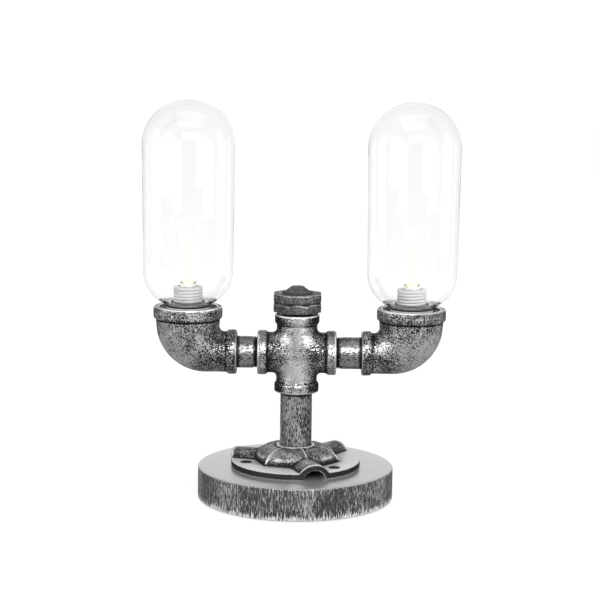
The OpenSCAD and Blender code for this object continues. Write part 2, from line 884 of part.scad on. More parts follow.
// Threaded collar cemented into the hole in the glass, its foot shaped to the bend of the glass
module shade_collar() {
    bore_r = holder_d / 2 + move_gap;
    neck_r = shade_hole_d / 2 - seat_gap;
    foot_r = collar_foot_d / 2;
    bed_r = low_bend + seat_gap;
    color("dimgray")
        rotate_extrude()
            polygon(concat(
                [[bore_r, plate_top], [foot_r, plate_top]],
                arc(low_centre, bed_r, low_angle(bed_r, foot_r), low_angle(bed_r, neck_r), 4),
                [[neck_r, plate_top + collar_h], [bore_r, plate_top + collar_h]]
            ));
}

// Outline of the glass on one of its two faces, inset from the outer one, from its hole up to its top
function shade_outline(inset) =
    let (
        r = low_bend - inset,
        dome_c = [0, shade_top - dome_h]
    )
    concat(
        arc(low_centre, r, low_angle(r, shade_hole_d / 2), 0, 10),
        quarter(dome_c, shade_d / 2 - inset, dome_h - inset, 14)
    );

// Clear glass capsule, open only at the hole for its collar
module shade() {
    color("white", 0.3)
        rotate_extrude()
            polygon(concat(shade_outline(0), reversed(shade_outline(glass_wall))));
}

// Bulb's screw cap with its tip, and a cup for the glass
module bulb_cap() {
    r = cap_d / 2;
    cup_r = r - cap_wall;
    cup_z = cap_h - bulb_sunk;
    color("silver")
        translate([0, 0, cap_foot])
            rotate_extrude()
                polygon([
                    [0, 0], [tip_d / 2, 0], [tip_d / 2, tip_h], [r, cone_h], [r, cap_h],
                    [cup_r, cap_h], [cup_r, cup_z], [0, cup_z]
                ]);
}

// Bulb's glass on one of its two faces, inset from the outer one, above the neck's foot
function bulb_outline(inset) =
    let (
        r = bulb_d / 2,
        shoulder = r - bulb_neck_r,
        shoulder_z = bulb_sunk + cut,
        top = bulb_len + bulb_sunk
    )
    concat(
        [[bulb_neck_r - inset, inset], [bulb_neck_r - inset, shoulder_z + inset]],
        arc([bulb_neck_r, shoulder_z + shoulder], shoulder - inset, -90, 0, 6),
        quarter([0, top - r], r - inset, r - inset, 8)
    );

// Sealed tube of the bulb
module bulb_glass() {
    color("white", 0.3)
        translate([0, 0, cap_top - bulb_sunk])
            difference() {
                rotate_extrude() polygon(concat([[0, 0]], bulb_outline(0)));
                rotate_extrude() polygon(concat([[0, bulb_wall]], bulb_outline(bulb_wall)));
            }
}

// Glass stem and the filaments that it carries
module bulb_filament() {
    mount_foot = cap_top - bulb_sunk + bulb_wall;
    filament_z = mount_foot + mount_len;
    color("orange") {
        translate([0, 0, mount_foot]) cylinder(d = mount_d, h = mount_len);
        for (x = [-filament_offset, filament_offset])
            translate([x, 0, filament_z - cut])
                cylinder(d = filament_d, h = filament_len + cut);
        translate([-filament_offset, 0, filament_z + filament_len - bridge_d])
            along_x() cylinder(d = bridge_d, h = 2 * filament_offset);
    }
}

module left_elbow() { color("gray") on_arm(LEFT) elbow(); }
module left_holder_plate() { on_arm(LEFT) holder_plate(); }
module left_holder_tube() { on_arm(LEFT) holder_tube(); }
module left_holder_nut() { on_arm(LEFT) holder_nut(); }
module left_lampholder() { on_arm(LEFT) lampholder(); }
module left_screw_shell() { on_arm(LEFT) screw_shell(); }
module left_centre_contact() { on_arm(LEFT) centre_contact(); }
module left_lamp_lead() { on_arm(LEFT) lamp_lead(LEFT); }
module left_shade_collar() { on_arm(LEFT) shade_collar(); }
module left_shade() { on_arm(LEFT) shade(); }
module left_bulb_cap() { on_arm(LEFT) bulb_cap(); }
module left_bulb_glass() { on_arm(LEFT) bulb_glass(); }
module left_bulb_filament() { on_arm(LEFT) bulb_filament(); }

module right_elbow() { color("gray") on_arm(RIGHT) elbow(); }
module right_holder_plate() { on_arm(RIGHT) holder_plate(); }
module right_holder_tube() { on_arm(RIGHT) holder_tube(); }
module right_holder_nut() { on_arm(RIGHT) holder_nut(); }
module right_lampholder() { on_arm(RIGHT) lampholder(); }
module right_screw_shell() { on_arm(RIGHT) screw_shell(); }
module right_centre_contact() { on_arm(RIGHT) centre_contact(); }
module right_lamp_lead() { on_arm(RIGHT) lamp_lead(RIGHT); }
module right_shade_collar() { on_arm(RIGHT) shade_collar(); }
module right_shade() { on_arm(RIGHT) shade(); }
module right_bulb_cap() { on_arm(RIGHT) bulb_cap(); }
module right_bulb_glass() { on_arm(RIGHT) bulb_glass(); }
module right_bulb_filament() { on_arm(RIGHT) bulb_filament(); }

felt_pad();
base_disc();
cord_bushing();
floor_flange();
flange_screws();
riser_pipe();
cross_fitting();
switch_sleeve();
lower_nut();
upper_nut();
switch_body();
button_spring();
switch_bezel();
switch_button();
left_nipple();
left_elbow();
left_holder_plate();
left_holder_tube();
left_holder_nut();
left_lampholder();
left_screw_shell();
left_centre_contact();
left_lamp_lead();
left_shade_collar();
left_shade();
left_bulb_cap();
left_bulb_glass();
left_bulb_filament();
right_nipple();
right_elbow();
right_holder_plate();
right_holder_tube();
right_holder_nut();
right_lampholder();
right_screw_shell();
right_centre_contact();
right_lamp_lead();
right_shade_collar();
right_shade();
right_bulb_cap();
right_bulb_glass();
right_bulb_filament();
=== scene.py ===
"""Looks of the two-arm table lamp made of pipe fittings: detailed pieces, paint, glass and a white studio."""
import math

import bmesh
import bpy
from mathutils import Matrix, Vector, noise


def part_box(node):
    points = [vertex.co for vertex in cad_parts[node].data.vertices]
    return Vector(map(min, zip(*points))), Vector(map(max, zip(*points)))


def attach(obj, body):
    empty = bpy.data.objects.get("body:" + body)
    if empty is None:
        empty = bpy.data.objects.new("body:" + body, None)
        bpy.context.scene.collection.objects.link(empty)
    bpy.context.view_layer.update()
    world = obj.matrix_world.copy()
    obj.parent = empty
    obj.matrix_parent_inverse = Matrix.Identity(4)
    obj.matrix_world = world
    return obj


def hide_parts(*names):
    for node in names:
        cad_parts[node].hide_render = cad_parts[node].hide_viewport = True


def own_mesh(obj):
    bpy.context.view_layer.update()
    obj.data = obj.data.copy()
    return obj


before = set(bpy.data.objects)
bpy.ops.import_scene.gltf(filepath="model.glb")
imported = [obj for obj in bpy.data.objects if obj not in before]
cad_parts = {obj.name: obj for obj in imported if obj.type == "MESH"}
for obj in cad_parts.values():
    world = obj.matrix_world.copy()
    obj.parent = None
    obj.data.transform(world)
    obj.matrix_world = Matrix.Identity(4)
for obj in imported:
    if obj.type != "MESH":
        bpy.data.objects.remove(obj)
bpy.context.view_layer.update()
scene = bpy.context.scene
scene.view_settings.view_transform = "Standard"


# Felt disc
# Black wool felt, die-cut and glued under the base so that the lamp stands without scratching.
# Its face is matted fibre and its cut edge is a little frayed.
def add_node(tree, kind, inputs=None, **settings):
    """Adds a node; each input is a value or the socket that feeds it."""
    node = tree.nodes.new(kind)
    for key, value in settings.items():
        setattr(node, key, value)
    for socket, value in (inputs or {}).items():
        if isinstance(value, bpy.types.NodeSocket):
            tree.links.new(value, node.inputs[socket])
        else:
            node.inputs[socket].default_value = value
    return node


def tree_of(values):
    """Tree of the first socket among some values."""
    return next(value for value in values if isinstance(value, bpy.types.NodeSocket)).id_data


def maths(operation, *values):
    """Result of one Math node; at least one value is a socket."""
    inputs = dict(enumerate(values))
    return add_node(tree_of(values), "ShaderNodeMath", inputs, operation=operation).outputs[0]


def ramp(value, low, high, at_low=0.0, at_high=1.0):
    """Carries a value smoothly from the span low to high over to the span at_low to at_high."""
    inputs = {"Value": value, "From Min": low, "From Max": high, "To Min": at_low, "To Max": at_high}
    span = add_node(value.id_data, "ShaderNodeMapRange", inputs, interpolation_type="SMOOTHSTEP")
    return span.outputs["Result"]


def grey(level):
    """Neutral colour of a linear level."""
    return (level, level, level, 1.0)


def blend(factor, first, second):
    """Colour between two colours."""
    inputs = {0: factor, 6: first, 7: second}
    return add_node(factor.id_data, "ShaderNodeMix", inputs, data_type="RGBA").outputs[2]


def speckle(coords, size, detail=2.0, roughness=0.5, stretch=(1, 1, 1)):
    """Noise with grains of a size in metres, drawn out along the axes whose stretch is small."""
    drawn = add_node(coords.id_data, "ShaderNodeMapping", {"Vector": coords, "Scale": stretch}).outputs[0]
    inputs = {"Vector": drawn, "Scale": 1 / size, "Detail": detail, "Roughness": roughness}
    return add_node(coords.id_data, "ShaderNodeTexNoise", inputs).outputs[0]


def relief(height, depth):
    """Normal of a surface whose relief is depth metres high."""
    inputs = {"Height": height, "Distance": depth, "Strength": 1.0}
    return add_node(height.id_data, "ShaderNodeBump", inputs).outputs[0]


def new_material(name, **sockets):
    """Material with one Principled shader; returns it with its shader and Object coordinates."""
    material = bpy.data.materials.new(name)
    material.use_nodes = True
    tree = material.node_tree
    tree.nodes.clear()
    shader = add_node(tree, "ShaderNodeBsdfPrincipled")
    for socket, value in sockets.items():
        shader.inputs[socket.replace("_", " ")].default_value = value
    add_node(tree, "ShaderNodeOutputMaterial", {"Surface": shader.outputs[0]})
    coords = add_node(tree, "ShaderNodeTexCoord").outputs["Object"]
    return material, shader, coords


def plug(shader, **sockets):
    """Feeds sockets of a shader."""
    for socket, value in sockets.items():
        shader.id_data.links.new(value, shader.inputs[socket.replace("_", " ")])


def two_tone(name, first, second, size, depth, detail=4.0, spread=0.5, stretch=(1, 1, 1), gloss=None,
             **sockets):
    """Material whose colour and relief follow one grain, and its roughness too where gloss gives its span."""
    material, shader, coords = new_material(name, **sockets)
    grain = speckle(coords, size, detail, spread, stretch)
    plug(shader, Base_Color=blend(grain, first, second), Normal=relief(grain, depth))
    if gloss:
        plug(shader, Roughness=ramp(grain, 0.3, 0.7, *gloss))
    return material


def to_mesh(form):
    """Mesh of a form that is no longer needed."""
    mesh = bpy.data.meshes.new("mesh")
    form.to_mesh(mesh)
    form.free()
    return mesh


def bend(radius, height, turn_r, start, end, steps=6):
    """Points of an arc about (radius, height), with its angles in degrees."""
    angles = [math.radians(start + (end - start) * i / steps) for i in range(steps + 1)]
    return [(radius + turn_r * math.cos(a), height + turn_r * math.sin(a)) for a in angles]


def rounded(radius, low, high, low_edge, high_edge, steps=6):
    """Points up a wall whose two edges are rounded."""
    return (bend(radius - low_edge, low + low_edge, low_edge, -90, 0, steps)
            + bend(radius - high_edge, high - high_edge, high_edge, 0, 90, steps))


def turned(profile, segments=160, ring=False, shape=None):
    """Lathe work: profile holds (radius, height) with the material on its left, and ring closes it on itself.

    shape(radius, height, angle) gives the radius where the piece isn't quite round.
    """
    form = bmesh.new()
    rows = []
    for radius, height in profile:
        if radius < 1e-6:
            rows.append([form.verts.new((0, 0, height))])
            continue
        row = []
        for j in range(segments):
            angle = math.tau * j / segments
            r = shape(radius, height, angle) if shape else radius
            row.append(form.verts.new((r * math.cos(angle), r * math.sin(angle), height)))
        rows.append(row)
    pairs = list(zip(rows, rows[1:]))
    if ring:
        pairs.append((rows[-1], rows[0]))
    for low, high in pairs:
        for j in range(segments):
            k = (j + 1) % segments
            corners = [low[j % len(low)], low[k % len(low)], high[k % len(high)], high[j % len(high)]]
            form.faces.new(list(dict.fromkeys(corners))).smooth = True
    mesh = to_mesh(form)
    mesh.set_sharp_from_angle(angle=math.radians(40))
    return mesh


def new_piece(name, data, material=None):
    """Object at the origin for a mesh, a light or a camera."""
    data.name = name
    piece = bpy.data.objects.new(name, data)
    scene.collection.objects.link(piece)
    if material:
        data.materials.clear()
        data.materials.append(material)
    return piece


def place(piece, body, slot, *nodes):
    """Lets a piece ride on its body in place of CAD nodes; slot is not used."""
    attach(piece, body)
    if nodes:
        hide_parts(*nodes)


felt = two_tone("felt", grey(0.008), grey(0.04), size=0.0005, depth=0.0004, spread=0.7,
                Roughness=1.0, Sheen_Weight=0.3)
felt_low, felt_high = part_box("felt_pad")
felt_r = (felt_high.x - felt_low.x) / 2
felt_face_r = felt_r - 0.004
felt_fray = 0.0005
fray_fineness = 70
fray_layers = 20
felt_round = 0.0005


def frayed(radius, height, angle):
    """Radius of the felt's cut edge, which only ever lies inside the clean cut."""
    where = Vector((math.cos(angle), math.sin(angle), height * fray_layers)) * fray_fineness
    return radius - felt_fray * abs(noise.noise(where))


felt_profile = [(0, felt_low.z), (felt_face_r, felt_low.z)]
felt_profile += rounded(felt_r, felt_low.z, felt_high.z, felt_round, felt_round, 3)
felt_profile += [(felt_face_r, felt_high.z), (0, felt_high.z)]
felt_disc = new_piece("felt_disc", turned(felt_profile, 360, shape=frayed), felt)
place(felt_disc, "stand", "felt", "felt_pad")


# Base disc
# A turned disc of wood or board, painted dark and brushed with silver: upright strokes on its side, strokes
# along the lamp on its top, and rims rubbed bright. A spot face at the back seats the cord bushing.
def carve(piece, hollows):
    """Cuts closed meshes out of a piece."""
    cutters = [new_piece("cutter", hollow) for hollow in hollows]
    for cutter in cutters:
        cut = piece.modifiers.new("cut", "BOOLEAN")
        cut.operation = "DIFFERENCE"
        cut.solver = "MANIFOLD"
        cut.object = cutter
    settle(piece)
    for cutter in cutters:
        bpy.data.objects.remove(cutter)


def settle(piece):
    """Turns a piece with its modifiers into a plain mesh."""
    graph = bpy.context.evaluated_depsgraph_get()
    mesh = bpy.data.meshes.new_from_object(
        piece.evaluated_get(graph), preserve_all_data_layers=True, depsgraph=graph)
    piece.modifiers.clear()
    piece.data = mesh


def drum(radius, start, end, segments):
    """Plain closed cylinder about the upright axis."""
    return turned([(0, start), (radius, start), (radius, end), (0, end)], segments)


def axis_of(vector, axis):
    """One coordinate of a vector."""
    return add_node(vector.id_data, "ShaderNodeSeparateXYZ", {0: vector}).outputs[axis]


base_paint, shader, coords = new_material("base_paint")
facing = coords.node.outputs["Normal"]
upward = axis_of(facing, "Z")
height = axis_of(coords, "Z")
base_low, base_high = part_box("base_disc")
stroke_w = 0.0008
patch_w = 0.022
top_line_w = 0.0011
stroke_reach = 0.022
rubbed_span = (-0.0066, -0.0096)
foot_over_rim = 9.0
strokes = speckle(coords, stroke_w, 2.0, 0.5, (1, 1, 0.14))
dashes = speckle(coords, stroke_w, 2.0, 0.5, (1, 1, 0.45))
patches = speckle(coords, patch_w, 3.0, 0.6, (1, 1, 0.3))
over_foot = maths("SUBTRACT", height, base_low.z)
under_rim = maths("MULTIPLY", maths("SUBTRACT", base_high.z, height), foot_over_rim)
ragged = maths("MULTIPLY_ADD", strokes, -stroke_reach, maths("MINIMUM", over_foot, under_rim))
rubbed = ramp(ragged, *rubbed_span)
brushed = maths("MULTIPLY_ADD", dashes, 0.5, maths("MULTIPLY_ADD", patches, 0.5, strokes))
side_silver = ramp(brushed, 0.96, 1.26)
side_colour = blend(side_silver, grey(0.05), grey(0.58))
side_colour = blend(rubbed, side_colour, grey(0.9))
lines = speckle(coords, top_line_w, 4.0, 0.6, (0.03, 1, 1))
top_colour = blend(ramp(lines, 0.3, 0.7), grey(0.62), grey(0.7))
on_top = ramp(upward, 0.55, 0.95)
top_roughness = 0.28
side_roughness = ramp(side_silver, 0.0, 1.0, 0.34, 0.28)
to_top = maths("SUBTRACT", top_roughness, side_roughness)
plug(shader, Base_Color=blend(on_top, side_colour, top_colour), Metallic=ramp(on_top, 0.0, 1.0, 0.2, 0.8),
     Roughness=maths("MULTIPLY_ADD", on_top, to_top, side_roughness),
     Normal=relief(maths("ADD", strokes, lines), 0.00005))

base_r = (base_high.x - base_low.x) / 2
base_edge = 0.0014
base_face_r = base_r * 0.6
base_profile = [(0, base_low.z), (base_face_r, base_low.z)]
base_profile += rounded(base_r, base_low.z, base_high.z, base_edge, base_edge)
base_profile += [(base_face_r, base_high.z), (0, base_high.z)]
base = new_piece("base_body", turned(base_profile, 320), base_paint)
bushing_low, bushing_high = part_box("cord_bushing")
bushing_flange = 0.0016
spot_gap = 0.0001
spot_r = (bushing_high.x - bushing_low.x) / 2 + spot_gap
spot = drum(spot_r, bushing_high.y - bushing_flange, base_r * 1.1, 64)
bushing_z = (bushing_low.z + bushing_high.z) / 2
spot.transform(Matrix.Translation((0, 0, bushing_z)) @ Matrix.Rotation(-math.pi / 2, 4, "X"))
carve(base, [spot])
place(base, "stand", "base_wood", "base_disc")


# Cord bushing
# A bushing of moulded black rubber, pressed into a hole in the back of the base. Its bore is the lamp's
# cord inlet, and its flange lies in the spot face.
def dress(material, *names):
    """Gives CAD nodes that keep their own shape a material."""
    for name in names:
        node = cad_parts[name]
        node.data.materials.clear()
        node.data.materials.append(material)


rubber = two_tone("rubber", grey(0.008), grey(0.022), size=0.0006, detail=3.0, depth=0.0001, Roughness=0.7)
dress(rubber, "cord_bushing")


# Floor flange
# One sand casting: a round plate, a hub with six cord-like ribs between puffed panels, a collar for the
# riser and three half-round tunnels. Blackened, then dry-brushed with silver, which catches what is raised.
def new_tree(name, sockets):
    """Geometry Nodes tree that takes a geometry and the named inputs."""
    tree = bpy.data.node_groups.new(name, "GeometryNodeTree")
    tree.interface.new_socket("Geometry", in_out="INPUT", socket_type="NodeSocketGeometry")
    for label, kind in sockets.items():
        tree.interface.new_socket(label, in_out="INPUT", socket_type="NodeSocket" + kind)
    tree.interface.new_socket("Geometry", in_out="OUTPUT", socket_type="NodeSocketGeometry")
    start = tree.nodes.new("NodeGroupInput")
    return tree, start.outputs


def end_tree(tree, geometry, material):
    """Ends a tree with its material."""
    painted = add_node(tree, "GeometryNodeSetMaterial", {"Geometry": geometry, "Material": material})
    add_node(tree, "NodeGroupOutput", {"Geometry": painted.outputs[0]})


def run_tree(piece, tree, values):
    """Puts a tree on a piece, sets its inputs and makes the result a plain mesh."""
    modifier = piece.modifiers.new(tree.name, "NODES")
    modifier.node_group = tree
    for item in tree.interface.items_tree:
        if item.in_out == "INPUT" and item.name in values:
            modifier[item.identifier] = values[item.name]
    settle(piece)


ring_tree, given = new_tree("ring_of_copies", {"Count": "Int", "First turn": "Float", "Material": "Material"})
points = add_node(ring_tree, "GeometryNodePoints", {"Count": given["Count"]})
step = maths("DIVIDE", math.tau, given["Count"])
index = add_node(ring_tree, "GeometryNodeInputIndex").outputs[0]
turn = maths("MULTIPLY_ADD", index, step, given["First turn"])
about_z = add_node(ring_tree, "ShaderNodeCombineXYZ", {"Z": turn}).outputs[0]
copies = add_node(ring_tree, "GeometryNodeInstanceOnPoints",
                  {"Points": points.outputs[0], "Instance": given["Geometry"], "Rotation": about_z})
real = add_node(ring_tree, "GeometryNodeRealizeInstances", {"Geometry": copies.outputs[0]})
end_tree(ring_tree, real.outputs[0], given["Material"])


def vectors(operation, *values):
    """Outputs of one Vector Math node."""
    inputs = dict(enumerate(values))
    return add_node(tree_of(values), "ShaderNodeVectorMath", inputs, operation=operation).outputs


skin_tree, given = new_tree("cast_skin", {
    "Softening": "Int", "Reach": "Int", "Grain size": "Float", "Grain depth": "Float",
    "Material": "Material"})
here = add_node(skin_tree, "GeometryNodeInputPosition").outputs[0]
outward = add_node(skin_tree, "GeometryNodeInputNormal").outputs[0]
softer = add_node(skin_tree, "GeometryNodeBlurAttribute",
                  {"Value": here, "Iterations": given["Softening"]}, data_type="FLOAT_VECTOR")
soft = add_node(skin_tree, "GeometryNodeSetPosition",
                {"Geometry": given["Geometry"], "Position": softer.outputs[0]})
around = add_node(skin_tree, "GeometryNodeBlurAttribute",
                  {"Value": here, "Iterations": given["Reach"]}, data_type="FLOAT_VECTOR")
above = vectors("SUBTRACT", here, around.outputs[0])[0]
raised = vectors("DOT_PRODUCT", above, outward)["Value"]
in_mm = maths("MULTIPLY", raised, 1000.0)
marked = add_node(skin_tree, "GeometryNodeStoreNamedAttribute",
                  {"Geometry": soft.outputs[0], "Name": "raised", "Value": in_mm}, data_type="FLOAT")
scale = maths("DIVIDE", 1.0, given["Grain size"])
grains = add_node(skin_tree, "ShaderNodeTexNoise", {"Vector": here, "Scale": scale, "Detail": 2.0})
off_middle = maths("SUBTRACT", grains.outputs[0], 0.5)
bumps = maths("MULTIPLY", off_middle, given["Grain depth"])
offset = add_node(skin_tree, "ShaderNodeVectorMath", {0: outward, "Scale": bumps}, operation="SCALE")
rough = add_node(skin_tree, "GeometryNodeSetPosition",
                 {"Geometry": marked.outputs[0], "Offset": offset.outputs[0]})
smooth = add_node(skin_tree, "GeometryNodeSetShadeSmooth", {"Geometry": rough.outputs[0]})
end_tree(skin_tree, smooth.outputs[0], given["Material"])


def joined(meshes):
    """One mesh of several."""
    form = bmesh.new()
    for mesh in meshes:
        form.from_mesh(mesh)
    return to_mesh(form)


def fuse(piece, voxel):
    """Makes one closed skin of the forms in a piece."""
    skin = piece.modifiers.new("fuse", "REMESH")
    skin.mode = "VOXEL"
    skin.voxel_size = voxel
    settle(piece)


def cast(name, solids, hollows, voxel, material, softening=3, reach=40,
         grain_size=0.0022, grain_depth=0.0003):
    """Sand casting: closed forms fused into one skin, cut out, softened at the edges and given a grain."""
    piece = new_piece(name, joined(solids))
    fuse(piece, voxel)
    if hollows:
        carve(piece, hollows)
        fuse(piece, voxel)
    run_tree(piece, skin_tree, {"Softening": softening, "Reach": reach, "Grain size": grain_size,
                                "Grain depth": grain_depth, "Material": material})
    return piece


def ring_of(mesh, count, first_turn, material=None):
    """Mesh of copies turned about the lamp's upright axis."""
    piece = new_piece("copies", mesh)
    run_tree(piece, ring_tree, {"Count": count, "First turn": first_turn, "Material": material})
    copied = piece.data
    bpy.data.objects.remove(piece)
    return copied


def lofted(rings):
    """Closed mesh through rings with as many points each."""
    form = bmesh.new()
    rows = [[form.verts.new(point) for point in ring] for ring in rings]
    for low, high in zip(rows, rows[1:]):
        for j in range(len(low)):
            k = (j + 1) % len(low)
            form.faces.new((low[j], low[k], high[k], high[j]))
    form.faces.new(rows[0][::-1])
    form.faces.new(rows[-1])
    bmesh.ops.recalc_face_normals(form, faces=form.faces)
    return to_mesh(form)


def rod(radius, start, end, segments=64):
    """Plain bar along X from start to end."""
    mesh = drum(radius, start, end, segments)
    mesh.transform(Matrix.Rotation(math.pi / 2, 4, "Y"))
    return mesh


def antique_silver(name, dark, silver, cover, grain=0.001, stretch=(1, 1, 1), rims=(0.4, 0.7),
                   wear_and_shading=None, metallic=0.85):
    """Black paint under dry-brushed silver: cover holds the levels where silver starts and where it is full.

    Grooves stay black: unbrushed paint, with painted shade in them too. Rims are rubbed bright, where they
    stand proud by a span in millimetres. The function passed for wear and painted shading adds to the paint's
    level, less than nothing where it stays black.
    """
    cloud_w = 0.012
    grooves = (-0.5, -0.1)
    material, shader, coords = new_material(name, Metallic=metallic, Specular_IOR_Level=0.25)
    fine = speckle(coords, grain, 1.5, 0.5, stretch)
    cloud = speckle(coords, cloud_w, 3.0, 0.6, stretch)
    proud = add_node(coords.id_data, "ShaderNodeAttribute", attribute_name="raised").outputs["Fac"]
    level = maths("MULTIPLY_ADD", cloud, 0.5, fine)
    # Painted shade in the grooves, which also stay black as unbrushed paint.
    level = maths("ADD", level, ramp(proud, *grooves, -0.5, 0.0))
    level = maths("ADD", level, ramp(proud, *rims, 0.0, 0.5))
    if wear_and_shading:
        level = maths("ADD", level, wear_and_shading(coords))
    brushed = ramp(level, *cover)
    plug(shader, Base_Color=blend(brushed, grey(dark), grey(silver)),
         Roughness=ramp(brushed, 0.0, 1.0, 0.5, 0.3), Normal=relief(fine, 0.0002))
    return material


flange_low, flange_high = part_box("floor_flange")
flange_r = (flange_high.x - flange_low.x) / 2
plate_t = 0.0056
plate_edge = 0.0012
hub_foot_r = 0.0365
hub_top_r = 0.0162
hub_h = flange_high.z - flange_low.z
hub_sink = 0.0007
rib_proud = 0.0011
rib_r = 0.0014
rib_count = 6
puff = 0.002
front = math.radians(-90)
tunnel_turn = front + math.radians(17.5)
tunnel_r = 0.0147
tunnel_wall = 0.0047
tunnel_drop = 0.0021
tunnel_count = 3
pipe_hole_r = 0.0137
socket_depth = 0.013


def hub_curve(share, proud):
    """Radius, height and slope angle of the hub's side at a share of its height."""
    a = math.pi / 2 * share
    centre_r = hub_top_r - hub_sink
    centre_z = plate_t - hub_sink
    reach_r = hub_foot_r - centre_r - rib_proud + proud
    reach_z = hub_h - centre_z - 2 * rib_proud + proud
    return centre_r + reach_r * math.cos(a), centre_z + reach_z * math.sin(a), a


def hub_dome():
    """Six-sided dome, flat-sided at its foot, round at the collar and puffed between the ribs."""
    steps = 28
    points = 180
    sector = math.tau / rib_count
    rings = []
    for j in range(steps + 1):
        r, z, a = hub_curve(j / steps, 0.0)
        ring = []
        for i in range(points):
            angle = math.tau * i / points
            off = abs(angle % sector - sector / 2)
            flat = math.cos(sector / 2) / math.cos(off)
            swell = puff * (1 - (2 * off / sector)**4) * (1 - (2 * j / steps - 1)**4)
            radius = r * (flat + (1 - flat) * math.sin(a)) + swell * math.cos(a)
            ring.append((radius * math.cos(angle), radius * math.sin(angle), z + swell * math.sin(a)))
        rings.append(ring)
    return lofted(rings)


def hub_rib():
    """Round cord up the hub's side, along X."""
    steps = 24
    sides = 16
    rings = []
    for j in range(steps + 1):
        r, z, a = hub_curve(j / steps, rib_proud * 0.5)
        ring = []
        for i in range(sides):
            b = math.tau * i / sides
            out = rib_r * math.cos(b)
            ring.append((r + out * math.cos(a), rib_r * math.sin(b), z + out * math.sin(a)))
        rings.append(ring)
    return lofted(rings)


flange_plate = turned([(0, 0), (flange_r, 0)] + bend(
    flange_r - plate_edge, plate_t - plate_edge, plate_edge, 0, 90) + [(0, plate_t)], 240)
flange_collar = drum(hub_top_r, 0, hub_h, 120)
drop = Matrix.Translation((0, 0, -tunnel_drop))
tunnel_bar = rod(tunnel_r, hub_top_r, flange_r * 1.1)
tunnel_bar.transform(drop)
cut_low = -0.02
cut_high = 0.03
overcut = 0.01
beyond = turned([(flange_r, cut_low), (flange_r * 1.3, cut_low), (flange_r * 1.3, cut_high),
                 (flange_r, cut_high)], 240, ring=True)
below = drum(flange_r * 1.2, cut_low, 0, 64)
tunnel_bore = rod(tunnel_r - tunnel_wall, hub_foot_r - tunnel_r, flange_r * 1.2)
tunnel_bore.transform(drop)
pipe_hole = drum(pipe_hole_r, hub_h - socket_depth, hub_h + overcut, 120)
screw_head_r = 0.005
screw_head_h = 0.003
screw_shank_r = 0.0024
screw_circle_r = 0.0435
screw_turn = tunnel_turn + math.radians(30.5)
screw_gap = 0.0002
sink_r = screw_head_r + screw_gap
sink_room = 0.004
sink_top = plate_t + sink_room
sink = turned([(0, -overcut), (screw_shank_r, -overcut), (screw_shank_r, plate_t - screw_head_h),
               (sink_r, plate_t), (sink_r, sink_top), (0, sink_top)], 48)
sink.transform(Matrix.Translation((screw_circle_r, 0, 0)))
dome = hub_dome()
dome.transform(Matrix.Rotation(tunnel_turn, 4, "Z"))
flange_solids = [flange_plate, flange_collar, dome, ring_of(hub_rib(), rib_count, tunnel_turn),
                 ring_of(tunnel_bar, tunnel_count, tunnel_turn)]
flange_hollows = [below, beyond, pipe_hole, ring_of(tunnel_bore, tunnel_count, tunnel_turn),
                  ring_of(sink, tunnel_count, screw_turn)]
for mesh in flange_solids + flange_hollows:
    mesh.transform(Matrix.Translation((0, 0, flange_low.z)))
plate_top = flange_low.z + plate_t
plate_fade = (0.0003, 0.0012)
hub_fade = (0.002, 0.008)
rim_fade = (0.0014, 0.0006)
hub_shade_w = 0.012


def flange_wear_and_shading(coords):
    """Plate top lightened, partly rubbed silver and partly a painted reflection, less so in painted shade
    round the hub; the hub darker towards its foot; the rim's outward side dark, partly black paint, partly
    painted shade.
    """
    facing = coords.node.outputs["Normal"]
    height = axis_of(coords, "Z")
    flat = vectors("MULTIPLY", coords, (1, 1, 0))[0]
    out = vectors("NORMALIZE", flat)[0]
    outward = vectors("DOT_PRODUCT", facing, out)["Value"]
    away = vectors("LENGTH", flat)["Value"]
    # Painted reflection: more silver on the plate's upward faces, with painted shade near the hub.
    on_plate = ramp(height, plate_top + plate_fade[0], plate_top + plate_fade[1], 1.0, 0.0)
    level = maths("MULTIPLY", on_plate, ramp(axis_of(facing, "Z"), 0.85, 0.98))
    open_plate = ramp(away, hub_foot_r, hub_foot_r + hub_shade_w, 0.3, 0.6)
    up_hub = ramp(height, plate_top + hub_fade[0], plate_top + hub_fade[1], -0.2, -0.08)
    rubbed = maths("MULTIPLY_ADD", level, open_plate, up_hub)
    # Painted shade: the rim's outward side is darkened, as well as staying black as unbrushed paint.
    on_rim = ramp(away, flange_r - rim_fade[0], flange_r - rim_fade[1])
    return maths("MULTIPLY_ADD", on_rim, ramp(outward, 0.7, 0.95, 0.0, -0.7), rubbed)


flange_paint = antique_silver("flange_paint", dark=0.02, silver=0.74, cover=(0.48, 1.08), rims=(0.22, 0.5),
                              wear_and_shading=flange_wear_and_shading, metallic=0.35)
flange = cast("flange_casting", flange_solids, flange_hollows, voxel=0.0006, material=flange_paint)
place(flange, "stand", "cast_iron", "floor_flange")


